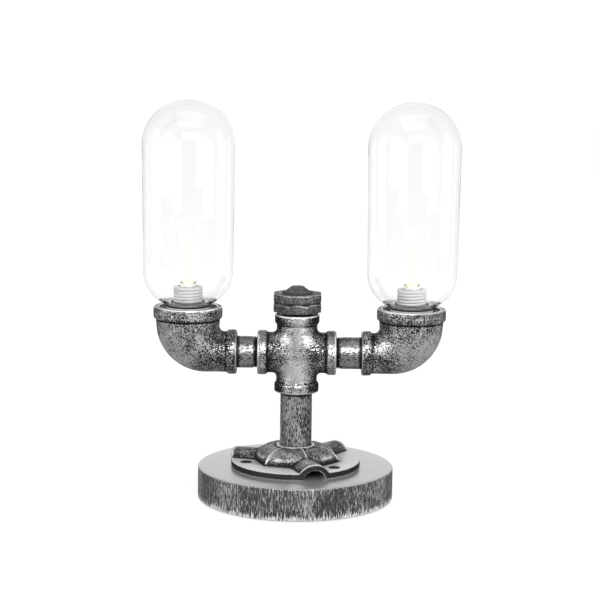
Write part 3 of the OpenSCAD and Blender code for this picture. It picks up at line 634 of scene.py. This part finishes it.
# Flange screws
# Three countersunk steel wood screws with crossed recesses, blackened. They hold the flange on the base
# and lie flush in its plate, one between each pair of tunnels.
screws_low, screws_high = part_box("flange_screws")
screw_top = screws_high.z
black_oxide = two_tone("black_oxide", grey(0.008), grey(0.04), size=0.0006, detail=3.0, depth=0.0001,
                       spread=0.7, gloss=(0.45, 0.65), Metallic=0.2, Specular_IOR_Level=0.3)
recess_r = 0.00066
recess_len = screw_head_r * 0.55
screw_point = 0.004
head_edge = 0.0003
screw = turned([
    (0, screws_low.z), (screw_shank_r * 0.3, screws_low.z), (screw_shank_r, screws_low.z + screw_point),
    (screw_shank_r, screw_top - screw_head_h), (screw_head_r - screw_gap, screw_top - head_edge),
    (screw_head_r - 2 * screw_gap, screw_top), (0, screw_top)], 48)
cross_bars = []
for across in (0, math.pi / 2):
    bar = rod(recess_r, -recess_len, recess_len, 4)
    bar.transform(Matrix.Translation((0, 0, screw_top)) @ Matrix.Rotation(across, 4, "Z"))
    cross_bars.append(bar)
screw = new_piece("flange_screw_set", screw)
carve(screw, cross_bars)
screw.data.transform(Matrix.Translation((screw_circle_r, 0, 0)))
run_tree(screw, ring_tree, {"Count": tunnel_count, "First turn": screw_turn, "Material": black_oxide})
place(screw, "stand", "screw_steel", "flange_screws")


# Riser pipe
# A short length of 3/4 inch steel pipe screwed into the flange's collar and the foot of the cross.
# It has the same paint as the castings, brushed along the pipe.
def upright(radius, foot, head, step):
    """Points up a straight wall, close enough together for a thread."""
    count = max(1, round((head - foot) / step))
    return [(radius, foot + (head - foot) * i / count) for i in range(count + 1)]


def threaded(radius, spans, depth, pitch):
    """Shape of a wall of a radius with a helical thread over the given spans of height."""
    def shape(r, height, angle):
        if abs(r - radius) > 1e-6:
            return r
        for foot, head in spans:
            if foot <= height <= head:
                fade = min(1.0, (height - foot) / pitch, (head - height) / pitch)
                wave = 0.5 - 0.5 * math.cos(math.tau * (height / pitch - angle / math.tau))
                return r - depth * wave * fade
        return r
    return shape


riser_low, riser_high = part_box("riser_pipe")
cross_low, cross_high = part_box("cross_fitting")
shaded = 0.0035


def shaded_ends(axis, *spans):
    """Painted shade that darkens the paint at the first end of each span along an axis, by a fitting."""
    def wear_and_shading(coords):
        along = axis_of(coords, axis)
        amounts = [ramp(along, start, end, -0.5, 0.0) for start, end in spans]
        return amounts[0] if len(amounts) == 1 else maths("ADD", *amounts)
    return wear_and_shading


def lathe(name, profile, segments, material, body, slot, *nodes, where=None, ring=False, shape=None):
    """Turned piece, moved to its place and riding on its body."""
    mesh = turned(profile, segments, ring, shape)
    if where:
        mesh.transform(where)
    place(new_piece(name, mesh, material), body, slot, *nodes)


pipe_grain = 0.0009
# Painted shade darkens the riser's top where it runs into the cross.
pipe_paint = antique_silver("pipe_paint", dark=0.03, silver=0.6, cover=(0.6, 0.94), grain=pipe_grain,
                            stretch=(1, 1, 0.3), wear_and_shading=shaded_ends("Z", (cross_low.z, cross_low.z - shaded)))
pipe_wall = 0.0029
pipe_r = (riser_high.x - riser_low.x) / 2
pipe_bore_r = pipe_r - pipe_wall
thread_pitch = 0.0018
thread_depth = 0.0011
thread_steps = 8
riser_thread_shown = 0.0012


def pipe(name, foot, head, threads, material, slot, node, bore_r=pipe_bore_r, where=None):
    """Pipe from foot to head, threaded over the given spans, in place of a CAD node."""
    wall = upright(pipe_r, foot, head, thread_pitch / thread_steps)
    lathe(name, wall + [(bore_r, head), (bore_r, foot)], 128, material, "stand", slot, node, where=where,
          ring=True, shape=threaded(pipe_r, threads, thread_depth, thread_pitch))


pipe("riser_tube", riser_low.z, riser_high.z, [(riser_low.z, flange_high.z + riser_thread_shown)],
     pipe_paint, "pipe_steel", "riser_pipe")


# Pipe cross
# A cross of malleable iron with a rounded band at each of its four outlets, threaded inside. It carries
# the arms and the switch, and its middle is a plain swell.
def plain_copy(name):
    """Mesh of a CAD node with its seams joined."""
    form = bmesh.new()
    form.from_mesh(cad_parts[name].data)
    bmesh.ops.remove_doubles(form, verts=form.verts, dist=1e-6)
    return to_mesh(form)


cross_band_w = 0.008
cross_band_edge = 0.0015
arm_z = (cross_low.z + cross_high.z) / 2


def cross_wear_and_highlight(coords):
    """Painted highlight with heavier dry-brushing: brighter down the middle of the upright limbs than at
    their sides and along the arms, whose bands are rubbed as bright again.
    """
    aside = maths("ABSOLUTE", axis_of(coords, "X"))
    apart = maths("ABSOLUTE", maths("SUBTRACT", axis_of(coords, "Z"), arm_z))
    band_from = cross_high.x - cross_band_w
    band_to = band_from + cross_band_edge
    # Painted highlight down the middle of the upright limbs, on top of their heavier dry-brushing.
    limb_silver_and_highlight = maths("MULTIPLY", ramp(aside, 0.005, 0.017, 1.0, 0.0), ramp(apart, 0.003, 0.013, 0.14, 0.27))
    bands = maths("ADD", ramp(aside, band_from, band_to, -0.17, 0.0),
                  ramp(apart, band_from, band_to, 0.0, -0.1))
    return maths("ADD", limb_silver_and_highlight, bands)


cross_paint = antique_silver("cross_paint", dark=0.02, silver=0.8, cover=(0.56, 0.88), wear_and_shading=cross_wear_and_highlight)
pipe_cross = cast("cross_casting", [plain_copy("cross_fitting")], [], voxel=0.00055, material=cross_paint)
place(pipe_cross, "stand", "cast_iron", "cross_fitting")


# Pipe nipples
# Two short lengths of the same steel pipe, threaded at both ends and screwed into the cross and the
# elbows. A few turns of thread show beside the cross.
SIDES = ("left", "right")
shown_thread = 0.0042
for side in SIDES:
    low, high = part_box(f"{side}_nipple")
    elbow_low, elbow_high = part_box(f"{side}_elbow")
    if side == "left":
        spans = [(cross_low.x - shown_thread, high.x)]
        ends = (cross_low.x, cross_low.x - shaded), (elbow_high.x, elbow_high.x + shaded)
    else:
        spans = [(low.x, cross_high.x + shown_thread)]
        ends = (cross_high.x, cross_high.x + shaded), (elbow_low.x, elbow_low.x - shaded)
    # Painted shade darkens each nipple's ends beside the bands of the cross and the elbow.
    nipple_paint = antique_silver(f"{side}_nipple_paint", dark=0.035, silver=0.52, cover=(0.56, 0.92),
                                  grain=pipe_grain, stretch=(0.4, 1, 1), wear_and_shading=shaded_ends("X", *ends))
    where = Matrix.Translation((0, 0, (low.z + high.z) / 2)) @ Matrix.Rotation(math.pi / 2, 4, "Y")
    pipe(f"{side}_nipple_tube", low.x, high.x, spans, nipple_paint, "pipe_steel", f"{side}_nipple",
         where=where)


# Reducing elbows
# Malleable iron elbows that widen from a pipe outlet to a cup with a broad band, in which the lampholder
# stands: one wide sweep outside and a tight corner inside. They are screwed onto the nipples.
elbow_reach = 0.0413
mouth_rise = 0.0386
mouth_r = 0.0289
mouth_band_h = 0.01
mouth_edge = 0.0012
neck_r = 0.0268
neck_step = 0.00025
neck_overlap = 0.002
body_r = 0.0171
bend_r = 0.0418
crotch_r = 0.004
cup_r = 0.0242
cup_depth = 0.0083
cavity_r = 0.019
cavity_drop = 0.007
cavity_over = 0.001
band_r = 0.0187
band_w = 0.008
band_edge = 0.0012
outlet_bore_r = 0.01365
bore_from = 0.008
shelter_h = 0.03
heel_span = (0.06, 0.112)


def elbow_ring(outer, inner, points=72):
    """Round ring across the bend between its outer and its inner side."""
    middle = (outer + inner) / 2
    across = (inner - outer) / 2
    ring = []
    for i in range(points):
        a = math.tau * i / points
        ring.append((middle.x + across.x * math.cos(a), across.length * math.sin(a),
                     middle.y + across.y * math.cos(a)))
    return ring


def elbow_sweep():
    """Closed solid of the bend, from its neck to its outlet."""
    steps = 56
    slim_r = neck_r - neck_step
    outer_c = Vector((bend_r - slim_r, bend_r - body_r))
    inner_c = Vector((slim_r + crotch_r, body_r + crotch_r))
    arc_len = bend_r * math.pi / 2
    run_len = arc_len + elbow_reach - band_w - outer_c.x
    top_z = outer_c.y + neck_overlap
    rings = [elbow_ring(Vector((-slim_r, top_z)), Vector((slim_r, top_z)))]
    for j in range(steps + 1):
        run = run_len * j / steps
        a = math.pi / 2 * min(1.0, run / arc_len)
        outer = outer_c - bend_r * Vector((math.cos(a), math.sin(a))) + Vector((max(0.0, run - arc_len), 0))
        c = math.pi / 2 * j / steps
        inner = inner_c - crotch_r * Vector((math.cos(c), math.sin(c)))
        rings.append(elbow_ring(outer, inner))
    last = elbow_reach - band_w / 2
    rings.append(elbow_ring(Vector((last, -body_r)), Vector((last, body_r))))
    return lofted(rings)


def elbow_forms():
    """Solids and hollows of an elbow whose mouth opens upwards and whose outlet faces +X."""
    foot = bend_r - body_r
    band_foot = mouth_rise - mouth_band_h
    ledge = mouth_rise - cup_depth
    neck = drum(neck_r, foot, ledge, 160)
    mouth = rounded(mouth_r, band_foot, mouth_rise, band_edge, mouth_edge)
    mouth = turned([(0, band_foot)] + mouth + [(0, mouth_rise)], 192)
    band_from = elbow_reach - band_w
    band = rounded(band_r, band_from, elbow_reach, band_edge, band_edge)
    band = turned([(0, band_from)] + band + [(0, elbow_reach)], 128)
    band.transform(Matrix.Rotation(math.pi / 2, 4, "Y"))
    cup = drum(cup_r, ledge, mouth_rise + overcut, 160)
    cavity = bend(0, cavity_r - cavity_drop, cavity_r, -90, 0, 24)
    cavity = turned(cavity + [(cavity_r, ledge + cavity_over), (0, ledge + cavity_over)], 96)
    bore = rod(outlet_bore_r, bore_from, elbow_reach + overcut, 96)
    return [elbow_sweep(), neck, mouth, band], [cup, cavity, bore]


def elbow_light_and_shade(coords):
    """Painted shade at the mouth's broad band, below it and by the outlet; painted light on the heel."""
    band_foot = arm_z + mouth_rise - mouth_band_h
    # Painted shade at the mouth's band and below it, fading downwards.
    band_shade = ramp(axis_of(coords, "Z"), band_foot - shelter_h, band_foot)
    # Painted light on the outer heel and painted shade towards the outlet.
    heel_light_and_shade = ramp(maths("ABSOLUTE", axis_of(coords, "X")), *heel_span, -0.11, 0.1)
    in_open = maths("SUBTRACT", 1.0, band_shade)
    return maths("MULTIPLY_ADD", heel_light_and_shade, in_open, maths("MULTIPLY", band_shade, -0.08))


elbow_paint = antique_silver("elbow_paint", dark=0.02, silver=0.88, cover=(0.58, 0.86), rims=(0.55, 0.85),
                             wear_and_shading=elbow_light_and_shade)
for side in SIDES:
    low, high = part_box(f"{side}_lampholder")
    where = Matrix.Translation(((low.x + high.x) / 2, 0, arm_z))
    if side == "right":
        where = where @ Matrix.Rotation(math.pi, 4, "Z")
    solids, hollows = elbow_forms()
    for mesh in solids + hollows:
        mesh.transform(where)
    elbow = cast(f"{side}_elbow_casting", solids, hollows, voxel=0.00055, material=elbow_paint)
    place(elbow, "stand", "cast_iron", f"{side}_elbow")


# Switch sleeve and lock nuts
# A threaded sleeve in the cross's top outlet holds the push switch. Two octagonal lock nuts clamp it,
# plain dark grey metal with faint upright brushing and rubbed edges.
nut_paint = antique_silver("nut_paint", dark=0.055, silver=0.37, cover=(0.6, 1.1), grain=pipe_grain,
                           stretch=(1, 1, 0.5))
for name in ("lower_nut", "upper_nut"):
    nut = cast(f"{name}_body", [plain_copy(name)], [], voxel=0.0004, material=nut_paint,
               grain_size=0.003, grain_depth=0.0001)
    place(nut, "stand", "nut_steel", name)

dark_steel = two_tone("dark_steel", grey(0.015), grey(0.11), size=0.0007, depth=0.0001,
                      spread=0.7, gloss=(0.35, 0.6), Metallic=0.7)
sleeve_low, sleeve_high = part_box("switch_sleeve")
sleeve_bore_r = 0.0115
pipe("switch_sleeve_tube", sleeve_low.z, sleeve_high.z, [(sleeve_low.z, sleeve_high.z)], dark_steel,
     "nut_steel", "switch_sleeve", bore_r=sleeve_bore_r)


# Push switch
# A metal button in a bezel ring, over a plastic switch body with a return spring. The button is the lamp's
# only control; pressing it moves it 3 mm down.
button_paint = antique_silver("button_paint", dark=0.09, silver=0.44, cover=(0.55, 1.2), grain=pipe_grain,
                              stretch=(1, 1, 0.3))
bezel_low, bezel_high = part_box("switch_bezel")
bezel_r = (bezel_high.x - bezel_low.x) / 2
bezel_round = 0.0005
bezel_gap = 0.0003
button_low, button_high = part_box("switch_button")
button_r = (button_high.x - button_low.x) / 2
bezel_bore_r = button_r + bezel_gap
bezel_profile = [(bezel_bore_r, bezel_low.z), (bezel_r, bezel_low.z)]
bezel_profile += bend(bezel_r - bezel_round, bezel_high.z - bezel_round, bezel_round, 0, 90)
bezel_profile += bend(bezel_bore_r + bezel_round, bezel_high.z - bezel_round, bezel_round, 90, 180)
# Painted shade: the bezel ring is dark steel, which also stands for the shade in the gap round the button.
lathe("switch_bezel_ring", bezel_profile, 128, dark_steel, "stand", "button_metal", "switch_bezel", ring=True)

button_flat_r = 0.0048
button_skirt = 0.0035
button_side = 0.0006
stem_r = 0.0025
spring_seat = 0.002
spring_room_r = 0.00575
button_round = 0.0008
button_profile = [(0, button_low.z), (stem_r, button_low.z), (stem_r, bezel_low.z + spring_seat),
                  (spring_room_r, bezel_low.z + spring_seat), (spring_room_r, bezel_low.z - button_skirt),
                  (button_r, bezel_low.z - button_skirt), (button_r, bezel_high.z + button_side),
                  (button_flat_r + button_round, button_high.z - button_round / 2),
                  (button_flat_r + button_round * 0.4, button_high.z - button_round * 0.08),
                  (button_flat_r, button_high.z), (0, button_high.z)]
lathe("switch_button_cap", button_profile, 128, button_paint, "push_button", "button_metal", "switch_button")

plastic = two_tone("plastic", grey(0.015), grey(0.03), size=0.0008, detail=3.0, depth=0.00005, Roughness=0.45)
dress(plastic, "switch_body", "left_lamp_lead", "right_lamp_lead")

bright_steel = two_tone("bright_steel", grey(0.42), grey(0.68), size=0.0006, depth=0.00006,
                        spread=0.6, stretch=(1, 1, 6), gloss=(0.25, 0.42), Metallic=1.0)
spring = new_piece("button_spring_coil", plain_copy("button_spring"), bright_steel)
spring.data.shade_smooth()
place(spring, "stand", "spring_steel", "button_spring")
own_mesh(spring)


# Lampholders
# Each stands on a pressed disc in the elbow's cup, clamped by a hollow threaded tube and its nut. The
# die-cast barrel is threaded outside for the shade's collar; inside are a brass shell and a contact.
brass = two_tone("brass", (0.42, 0.27, 0.08, 1), (0.75, 0.53, 0.2, 1), size=0.002, depth=0.00005,
                 spread=0.65, gloss=(0.25, 0.45), Metallic=1.0)
die_cast = two_tone("die_cast", grey(0.33), grey(0.42), size=0.0009, depth=0.00005,
                    spread=0.6, gloss=(0.45, 0.6), Metallic=0.25)
barrel_thread_pitch = 0.0026
barrel_thread_depth = 0.0007
fine_steps = 14
holder_chamfer = 0.0008
holder_floor = 0.006
holder_bore_r = 0.0079
tube_r = 0.00515
tube_grip = 0.0045
for side in SIDES:
    dress(bright_steel, f"{side}_holder_plate", f"{side}_holder_nut")
    dress(brass, f"{side}_holder_tube", f"{side}_screw_shell", f"{side}_centre_contact")
    low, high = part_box(f"{side}_lampholder")
    barrel_r = (high.x - low.x) / 2
    foot = low.z
    threads_end = high.z - holder_chamfer
    wall = upright(barrel_r, foot, threads_end, barrel_thread_pitch / fine_steps)
    profile = [(0, foot + tube_grip), (tube_r, foot + tube_grip), (tube_r, foot)] + wall + [
        (barrel_r - holder_chamfer, high.z), (holder_bore_r, high.z), (holder_bore_r, foot + holder_floor),
        (0, foot + holder_floor)]
    lathe(f"{side}_holder_barrel", profile, 128, die_cast, "stand", "holder_metal", f"{side}_lampholder",
          where=Matrix.Translation(((low.x + high.x) / 2, 0, 0)),
          shape=threaded(barrel_r, [(foot, threads_end)], barrel_thread_depth, barrel_thread_pitch))


# Bulbs
# Small tubular bulbs: a threaded nickel cap, a thin clear glass envelope and two yellow filament sticks
# on a glass mount. The filaments glow faintly, as in the photo.
def clear_glass(name, tint, absorbed, waves, **sockets):
    """Clear glass that lets light through to what is behind it; absorbed is its loss for each metre."""
    wave_w = 0.03
    material, shader, coords = new_material(name, Base_Color=grey(tint), Transmission_Weight=1.0,
                                            Roughness=0.0, **sockets)
    plug(shader, Normal=relief(speckle(coords, wave_w, 1.0), waves))
    tree = material.node_tree
    shadow = add_node(tree, "ShaderNodeLightPath").outputs["Is Shadow Ray"]
    see_through = add_node(tree, "ShaderNodeBsdfTransparent", {"Color": grey(0.95)}).outputs[0]
    either = add_node(tree, "ShaderNodeMixShader", {0: shadow, 1: shader.outputs[0], 2: see_through})
    body = add_node(tree, "ShaderNodeVolumeAbsorption", {"Color": grey(0.5), "Density": 2 * absorbed})
    output = next(node for node in tree.nodes if node.bl_idname == "ShaderNodeOutputMaterial")
    tree.links.new(either.outputs[0], output.inputs["Surface"])
    tree.links.new(body.outputs[0], output.inputs["Volume"])
    return material


bulb_glass = clear_glass("bulb_glass", tint=0.99, absorbed=1.0, waves=0.0, IOR=1.22,
                         Emission_Color=(1.0, 0.97, 0.86, 1), Emission_Strength=0.02)
nickel = two_tone("nickel", grey(0.5), grey(0.64), size=0.0008, detail=3.0, depth=0.00004, gloss=(0.35, 0.5),
                  Metallic=0.4)
glow, shader, coords = new_material("glow", Roughness=0.6, Emission_Color=(1.0, 0.92, 0.56, 1))
phosphor = speckle(coords, 0.0008, 2.0)
plug(shader, Base_Color=blend(phosphor, (0.55, 0.45, 0.15, 1), (0.65, 0.55, 0.21, 1)),
     Emission_Strength=ramp(phosphor, 0.3, 0.7, 0.74, 0.98))
cap_thread_pitch = 0.0028
cap_thread_depth = 0.0006
cap_rim = 0.002
bulb_wall = 0.0008
bulb_sunk = 0.003
neck_gap = 0.0002
shoulder_h = 0.004
shoulder_steps = 9
tip_r = 0.0025
tip_h = 0.0015
cone_h = 0.004
cap_wall = 0.0007
mount_r = 0.0044
mount_len = 0.009
stick_r = 0.0008
stick_offset = 0.0019
stick_cone = 0.0004
wire_r = 0.00045
wire_sunk = 0.001
wire_foot = 0.002
wire_head = 0.0014
wire_gap = 0.0003
for side in SIDES:
    body = f"{side}_bulb"
    low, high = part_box(f"{side}_bulb_cap")
    axis = Matrix.Translation(((low.x + high.x) / 2, 0, 0))
    cap_r = (high.x - low.x) / 2
    cup = high.z - bulb_sunk
    wall = upright(cap_r, low.z + cone_h, high.z, cap_thread_pitch / fine_steps)
    profile = [(0, low.z), (tip_r, low.z), (tip_r, low.z + tip_h)] + wall + [
        (cap_r - cap_wall, high.z), (cap_r - cap_wall, cup), (0, cup)]
    shape = threaded(cap_r, [(low.z + cone_h, high.z - cap_rim)], cap_thread_depth, cap_thread_pitch)
    lathe(f"{side}_cap_shell", profile, 96, nickel, body, "cap_metal", f"{side}_bulb_cap", where=axis,
          shape=shape)

    glass_low, glass_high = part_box(f"{side}_bulb_glass")
    bulb_r = (glass_high.x - glass_low.x) / 2
    neck = cap_r - cap_wall - neck_gap
    outlines = []
    for inset in (0.0, bulb_wall):
        round_r = bulb_r - inset
        foot = glass_low.z + inset
        outline = [(0, foot), (neck - inset, foot), (neck - inset, high.z)]
        for i in range(1, shoulder_steps):
            share = i / shoulder_steps
            swell = share * share * (3 - 2 * share)
            outline.append((neck + (bulb_r - neck) * swell - inset, high.z + shoulder_h * share))
        outline += [(round_r, high.z + shoulder_h)]
        outline += bend(0, glass_high.z - bulb_r, round_r, 0, 90, 20)[:-1] + [(0, glass_high.z - inset)]
        outlines.append(outline)
    faces = [turned(outlines[0], 96), turned(outlines[1][::-1], 96)]
    mesh = joined(faces)
    mesh.transform(axis)
    place(new_piece(f"{side}_bulb_envelope", mesh, bulb_glass), body, "bulb_glass", f"{side}_bulb_glass")

    wire_low, wire_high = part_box(f"{side}_bulb_filament")
    mount_top = wire_low.z + mount_len
    profile = [(0, wire_low.z), (mount_r * 0.9, wire_low.z), (mount_r, wire_low.z + mount_len * 0.35),
               (mount_r * 0.75, wire_low.z + mount_len * 0.7)]
    profile += bend(mount_r * 0.25, mount_top - mount_r * 0.3, mount_r * 0.3, 0, 90)
    lathe(f"{side}_bulb_mount", profile + [(0, mount_top)], 48, glow, body, "filament", where=axis)
    wire_from = mount_top - wire_sunk
    wire_to = wire_high.z - wire_gap
    stick_from = mount_top + wire_foot
    stick_to = wire_high.z - wire_head
    profile = [(0, wire_from), (wire_r, wire_from), (wire_r, stick_from), (stick_r, stick_from + stick_cone),
               (stick_r, stick_to - stick_cone), (wire_r, stick_to), (wire_r, wire_to), (0, wire_to)]
    sticks = []
    for offset in (-stick_offset, stick_offset):
        stick = turned(profile, 24)
        stick.transform(Matrix.Translation((offset, 0, 0)))
        sticks.append(stick)
    bridge = rod(wire_r, -stick_offset, stick_offset, 16)
    bridge.transform(Matrix.Translation((0, 0, wire_high.z - wire_r)))
    mesh = joined(sticks + [bridge])
    mesh.transform(axis)
    place(new_piece(f"{side}_bulb_sticks", mesh, glow), body, "filament", f"{side}_bulb_filament")


# Glass shades with their collars
# Blown clear glass capsules, closed at the top, with a threaded metal collar held in the hole at the foot
# by black cement. Each screws onto its lampholder's barrel and comes off upwards.
collar_paint, shader, coords = new_material("collar_paint", Specular_IOR_Level=0.2)
worn = speckle(coords, 0.0012, 4.0, 0.7)
facing = coords.node.outputs["Normal"]
up = axis_of(coords, "Z")
foot_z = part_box("left_shade")[0].z
bed_top = foot_z + 0.002
cement_edge = 0.0004
in_bed = maths("MULTIPLY", ramp(axis_of(facing, "Z"), 0.3, 0.7), ramp(up, bed_top + cement_edge, bed_top))
cemented = maths("MULTIPLY", ramp(up, foot_z, foot_z + cement_edge), maths("SUBTRACT", 1.0, in_bed))
spun = blend(worn, grey(0.45), grey(0.65))
plug(shader, Base_Color=blend(cemented, spun, grey(0.015)), Metallic=ramp(cemented, 0.0, 1.0, 0.3, 0.0),
     Roughness=ramp(cemented, 0.0, 1.0, 0.45, 0.9), Normal=relief(worn, 0.00015))
shade_glass = clear_glass("shade_glass", tint=0.975, absorbed=3.5, waves=0.00012, IOR=1.5)
glass_wall = 0.0022
dome_h = 0.037
low_bend_r = 0.030
shade_foot_r = 0.0375
low_r = shade_foot_r - low_bend_r
wall_steps = 24
dome_steps = 48
hole_r = 0.0145
seat_gap = 0.00005
collar_foot_r = 0.018
collar_neck_r = hole_r - seat_gap
collar_bore_r = 0.0128
collar_edge = 0.0004
for side in SIDES:
    body = f"{side}_globe"
    low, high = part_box(f"{side}_shade")
    axis = Matrix.Translation(((low.x + high.x) / 2, 0, 0))
    shade_r = (high.x - low.x) / 2
    low_z = low.z + low_bend_r
    dome_z = high.z - dome_h
    walls = []
    for inset in (0.0, glass_wall):
        turn_r = low_bend_r - inset
        start = -math.degrees(math.acos((hole_r - low_r) / turn_r))
        wall = bend(low_r, low_z, turn_r, start, 0, 40)
        spread = shade_r - inset - low_r - turn_r
        for i in range(1, wall_steps):
            share = i / wall_steps
            wall.append((low_r + turn_r + spread * share, low_z + (dome_z - low_z) * share))
        for i in range(dome_steps + 1):
            a = math.pi / 2 * i / dome_steps
            wall.append(((shade_r - inset) * math.cos(a), dome_z + (dome_h - inset) * math.sin(a)))
        wall[-1] = (0, high.z - inset)
        walls.append(wall)
    lathe(f"{side}_shade_glass", walls[1][::-1] + walls[0], 192, shade_glass, body, "shade_glass",
          f"{side}_shade", where=axis)

    collar_low, collar_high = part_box(f"{side}_shade_collar")
    bed_r = low_bend_r + seat_gap
    bed_from = -math.degrees(math.acos((collar_foot_r - low_r) / bed_r))
    bed_to = -math.degrees(math.acos((collar_neck_r - low_r) / bed_r))
    profile = [(collar_bore_r, collar_low.z), (collar_foot_r - collar_edge, collar_low.z),
               (collar_foot_r, collar_low.z + collar_edge)]
    profile += bend(low_r, low_z, bed_r, bed_from, bed_to, 8)
    profile += [(collar_neck_r, collar_high.z - collar_edge), (collar_neck_r - collar_edge, collar_high.z),
                (collar_bore_r, collar_high.z)]
    lathe(f"{side}_collar_ring", profile, 128, collar_paint, body, "collar_metal", f"{side}_shade_collar",
          where=axis, ring=True)


# Studio
# A white sweep with a soft key light in front, one overhead and a fill at each side, and two tall strip
# lights at the front left and right, whose reflections stand as upright bars in the glass. The camera's
# place comes from the fittings' rows and widths.
def background(tree, shown, glazed, mirrored, dim):
    """Strength for a light path: shown to the camera or through glass, glazed in glass, mirrored in metal."""
    path = add_node(tree, "ShaderNodeLightPath").outputs
    seen = maths("MAXIMUM", path["Is Camera Ray"], path["Is Transmission Ray"])
    strength = add_node(tree, "ShaderNodeValue").outputs[0]
    strength.default_value = dim
    choices = (path["Is Glossy Ray"], mirrored), (path["Is Singular Ray"], glazed), (seen, shown)
    for chosen, level in choices:
        strength = maths("MULTIPLY_ADD", chosen, maths("SUBTRACT", level, strength), strength)
    return strength


world = bpy.data.worlds.new("studio")
world.use_nodes = True
scene.world = world
tree = world.node_tree
tree.nodes.clear()
towards = add_node(tree, "ShaderNodeTexCoord").outputs["Generated"]
behind = axis_of(towards, "Y")
in_glass = ramp(behind, 0.6, 0.98, 0.38, 1.0)
upward = axis_of(towards, "Z")
band = maths("MINIMUM", ramp(upward, -0.08, 0.12), ramp(upward, 0.45, 0.75, 1.0, 0.0))
before = maths("MULTIPLY", band, ramp(behind, -0.5, 0.2, 0.9, 0.0))
in_metal = maths("MAXIMUM", maths("MAXIMUM", before, ramp(behind, 0.8, 0.98)), 0.08)
strength = background(tree, shown=1.03, glazed=in_glass, mirrored=in_metal, dim=0.1)
sky = add_node(tree, "ShaderNodeBackground", {"Color": grey(1.0), "Strength": strength})
add_node(tree, "ShaderNodeOutputWorld", {"Surface": sky.outputs[0]})

sweep, shader, coords = new_material("sweep", Base_Color=grey(0.2), Roughness=0.9,
                                     Specular_IOR_Level=0.0, Emission_Color=grey(1.0))
far = vectors("LENGTH", coords)["Value"]
strength = background(sweep.node_tree, shown=1.0, glazed=0.7, mirrored=0.12, dim=0.0)
plug(shader, Emission_Strength=maths("MULTIPLY", strength, ramp(far, 0.2, 1.0, 0.86, 1.0)))
half = 6.0
floor_z = -0.0003
floor_mesh = bpy.data.meshes.new("floor")
floor_mesh.from_pydata([(-half, -half, floor_z), (half, -half, floor_z), (half, half, floor_z),
                        (-half, half, floor_z)], [], [(0, 1, 2, 3)])
floor = new_piece("floor", floor_mesh, sweep)


def softbox(name, where, target, width, tall, power):
    """Rectangular area light that faces a point."""
    light = bpy.data.lights.new(name, "AREA")
    light.shape = "RECTANGLE"
    light.size = width
    light.size_y = tall
    light.energy = power
    lamp = new_piece(name, light)
    lamp.location = where
    lamp.rotation_euler = (Vector(target) - Vector(where)).to_track_quat("-Z", "Y").to_euler()
    return lamp


middle = (0, 0, 0.16)
level_aim = (0, 0, 0.57)
softbox("left_strip", (-1.05, -0.76, 0.57), level_aim, width=0.6, tall=0.9, power=4)
softbox("right_strip", (0.69, -1.1, 0.57), level_aim, width=0.6, tall=0.9, power=4)
overhead = softbox("overhead", (0, -0.25, 1.5), middle, width=1.2, tall=1.2, power=7)
left_fill = softbox("left_fill", (-1.3, 0.1, 0.4), middle, width=0.4, tall=0.9, power=6)
right_fill = softbox("right_fill", (1.3, 0.05, 0.4), middle, width=0.4, tall=0.9, power=9)
for lamp in (overhead, left_fill, right_fill):
    lamp.visible_glossy = False
softbox("key", (0.1, -1.7, 1.15), middle, width=1.2, tall=0.6, power=28)
camera_data = bpy.data.cameras.new("camera")
camera_data.sensor_width = 36.0
camera_data.lens = 110.1
camera = new_piece("camera", camera_data)
look_down = math.radians(8.75)
roll = math.radians(0.75)
camera_place = (0.0021, -1.518, 0.4037)
camera.matrix_world = (Matrix.Translation(camera_place)
                       @ Matrix.Rotation(math.pi / 2 - look_down, 4, "X") @ Matrix.Rotation(roll, 4, "Z"))
scene.camera = camera
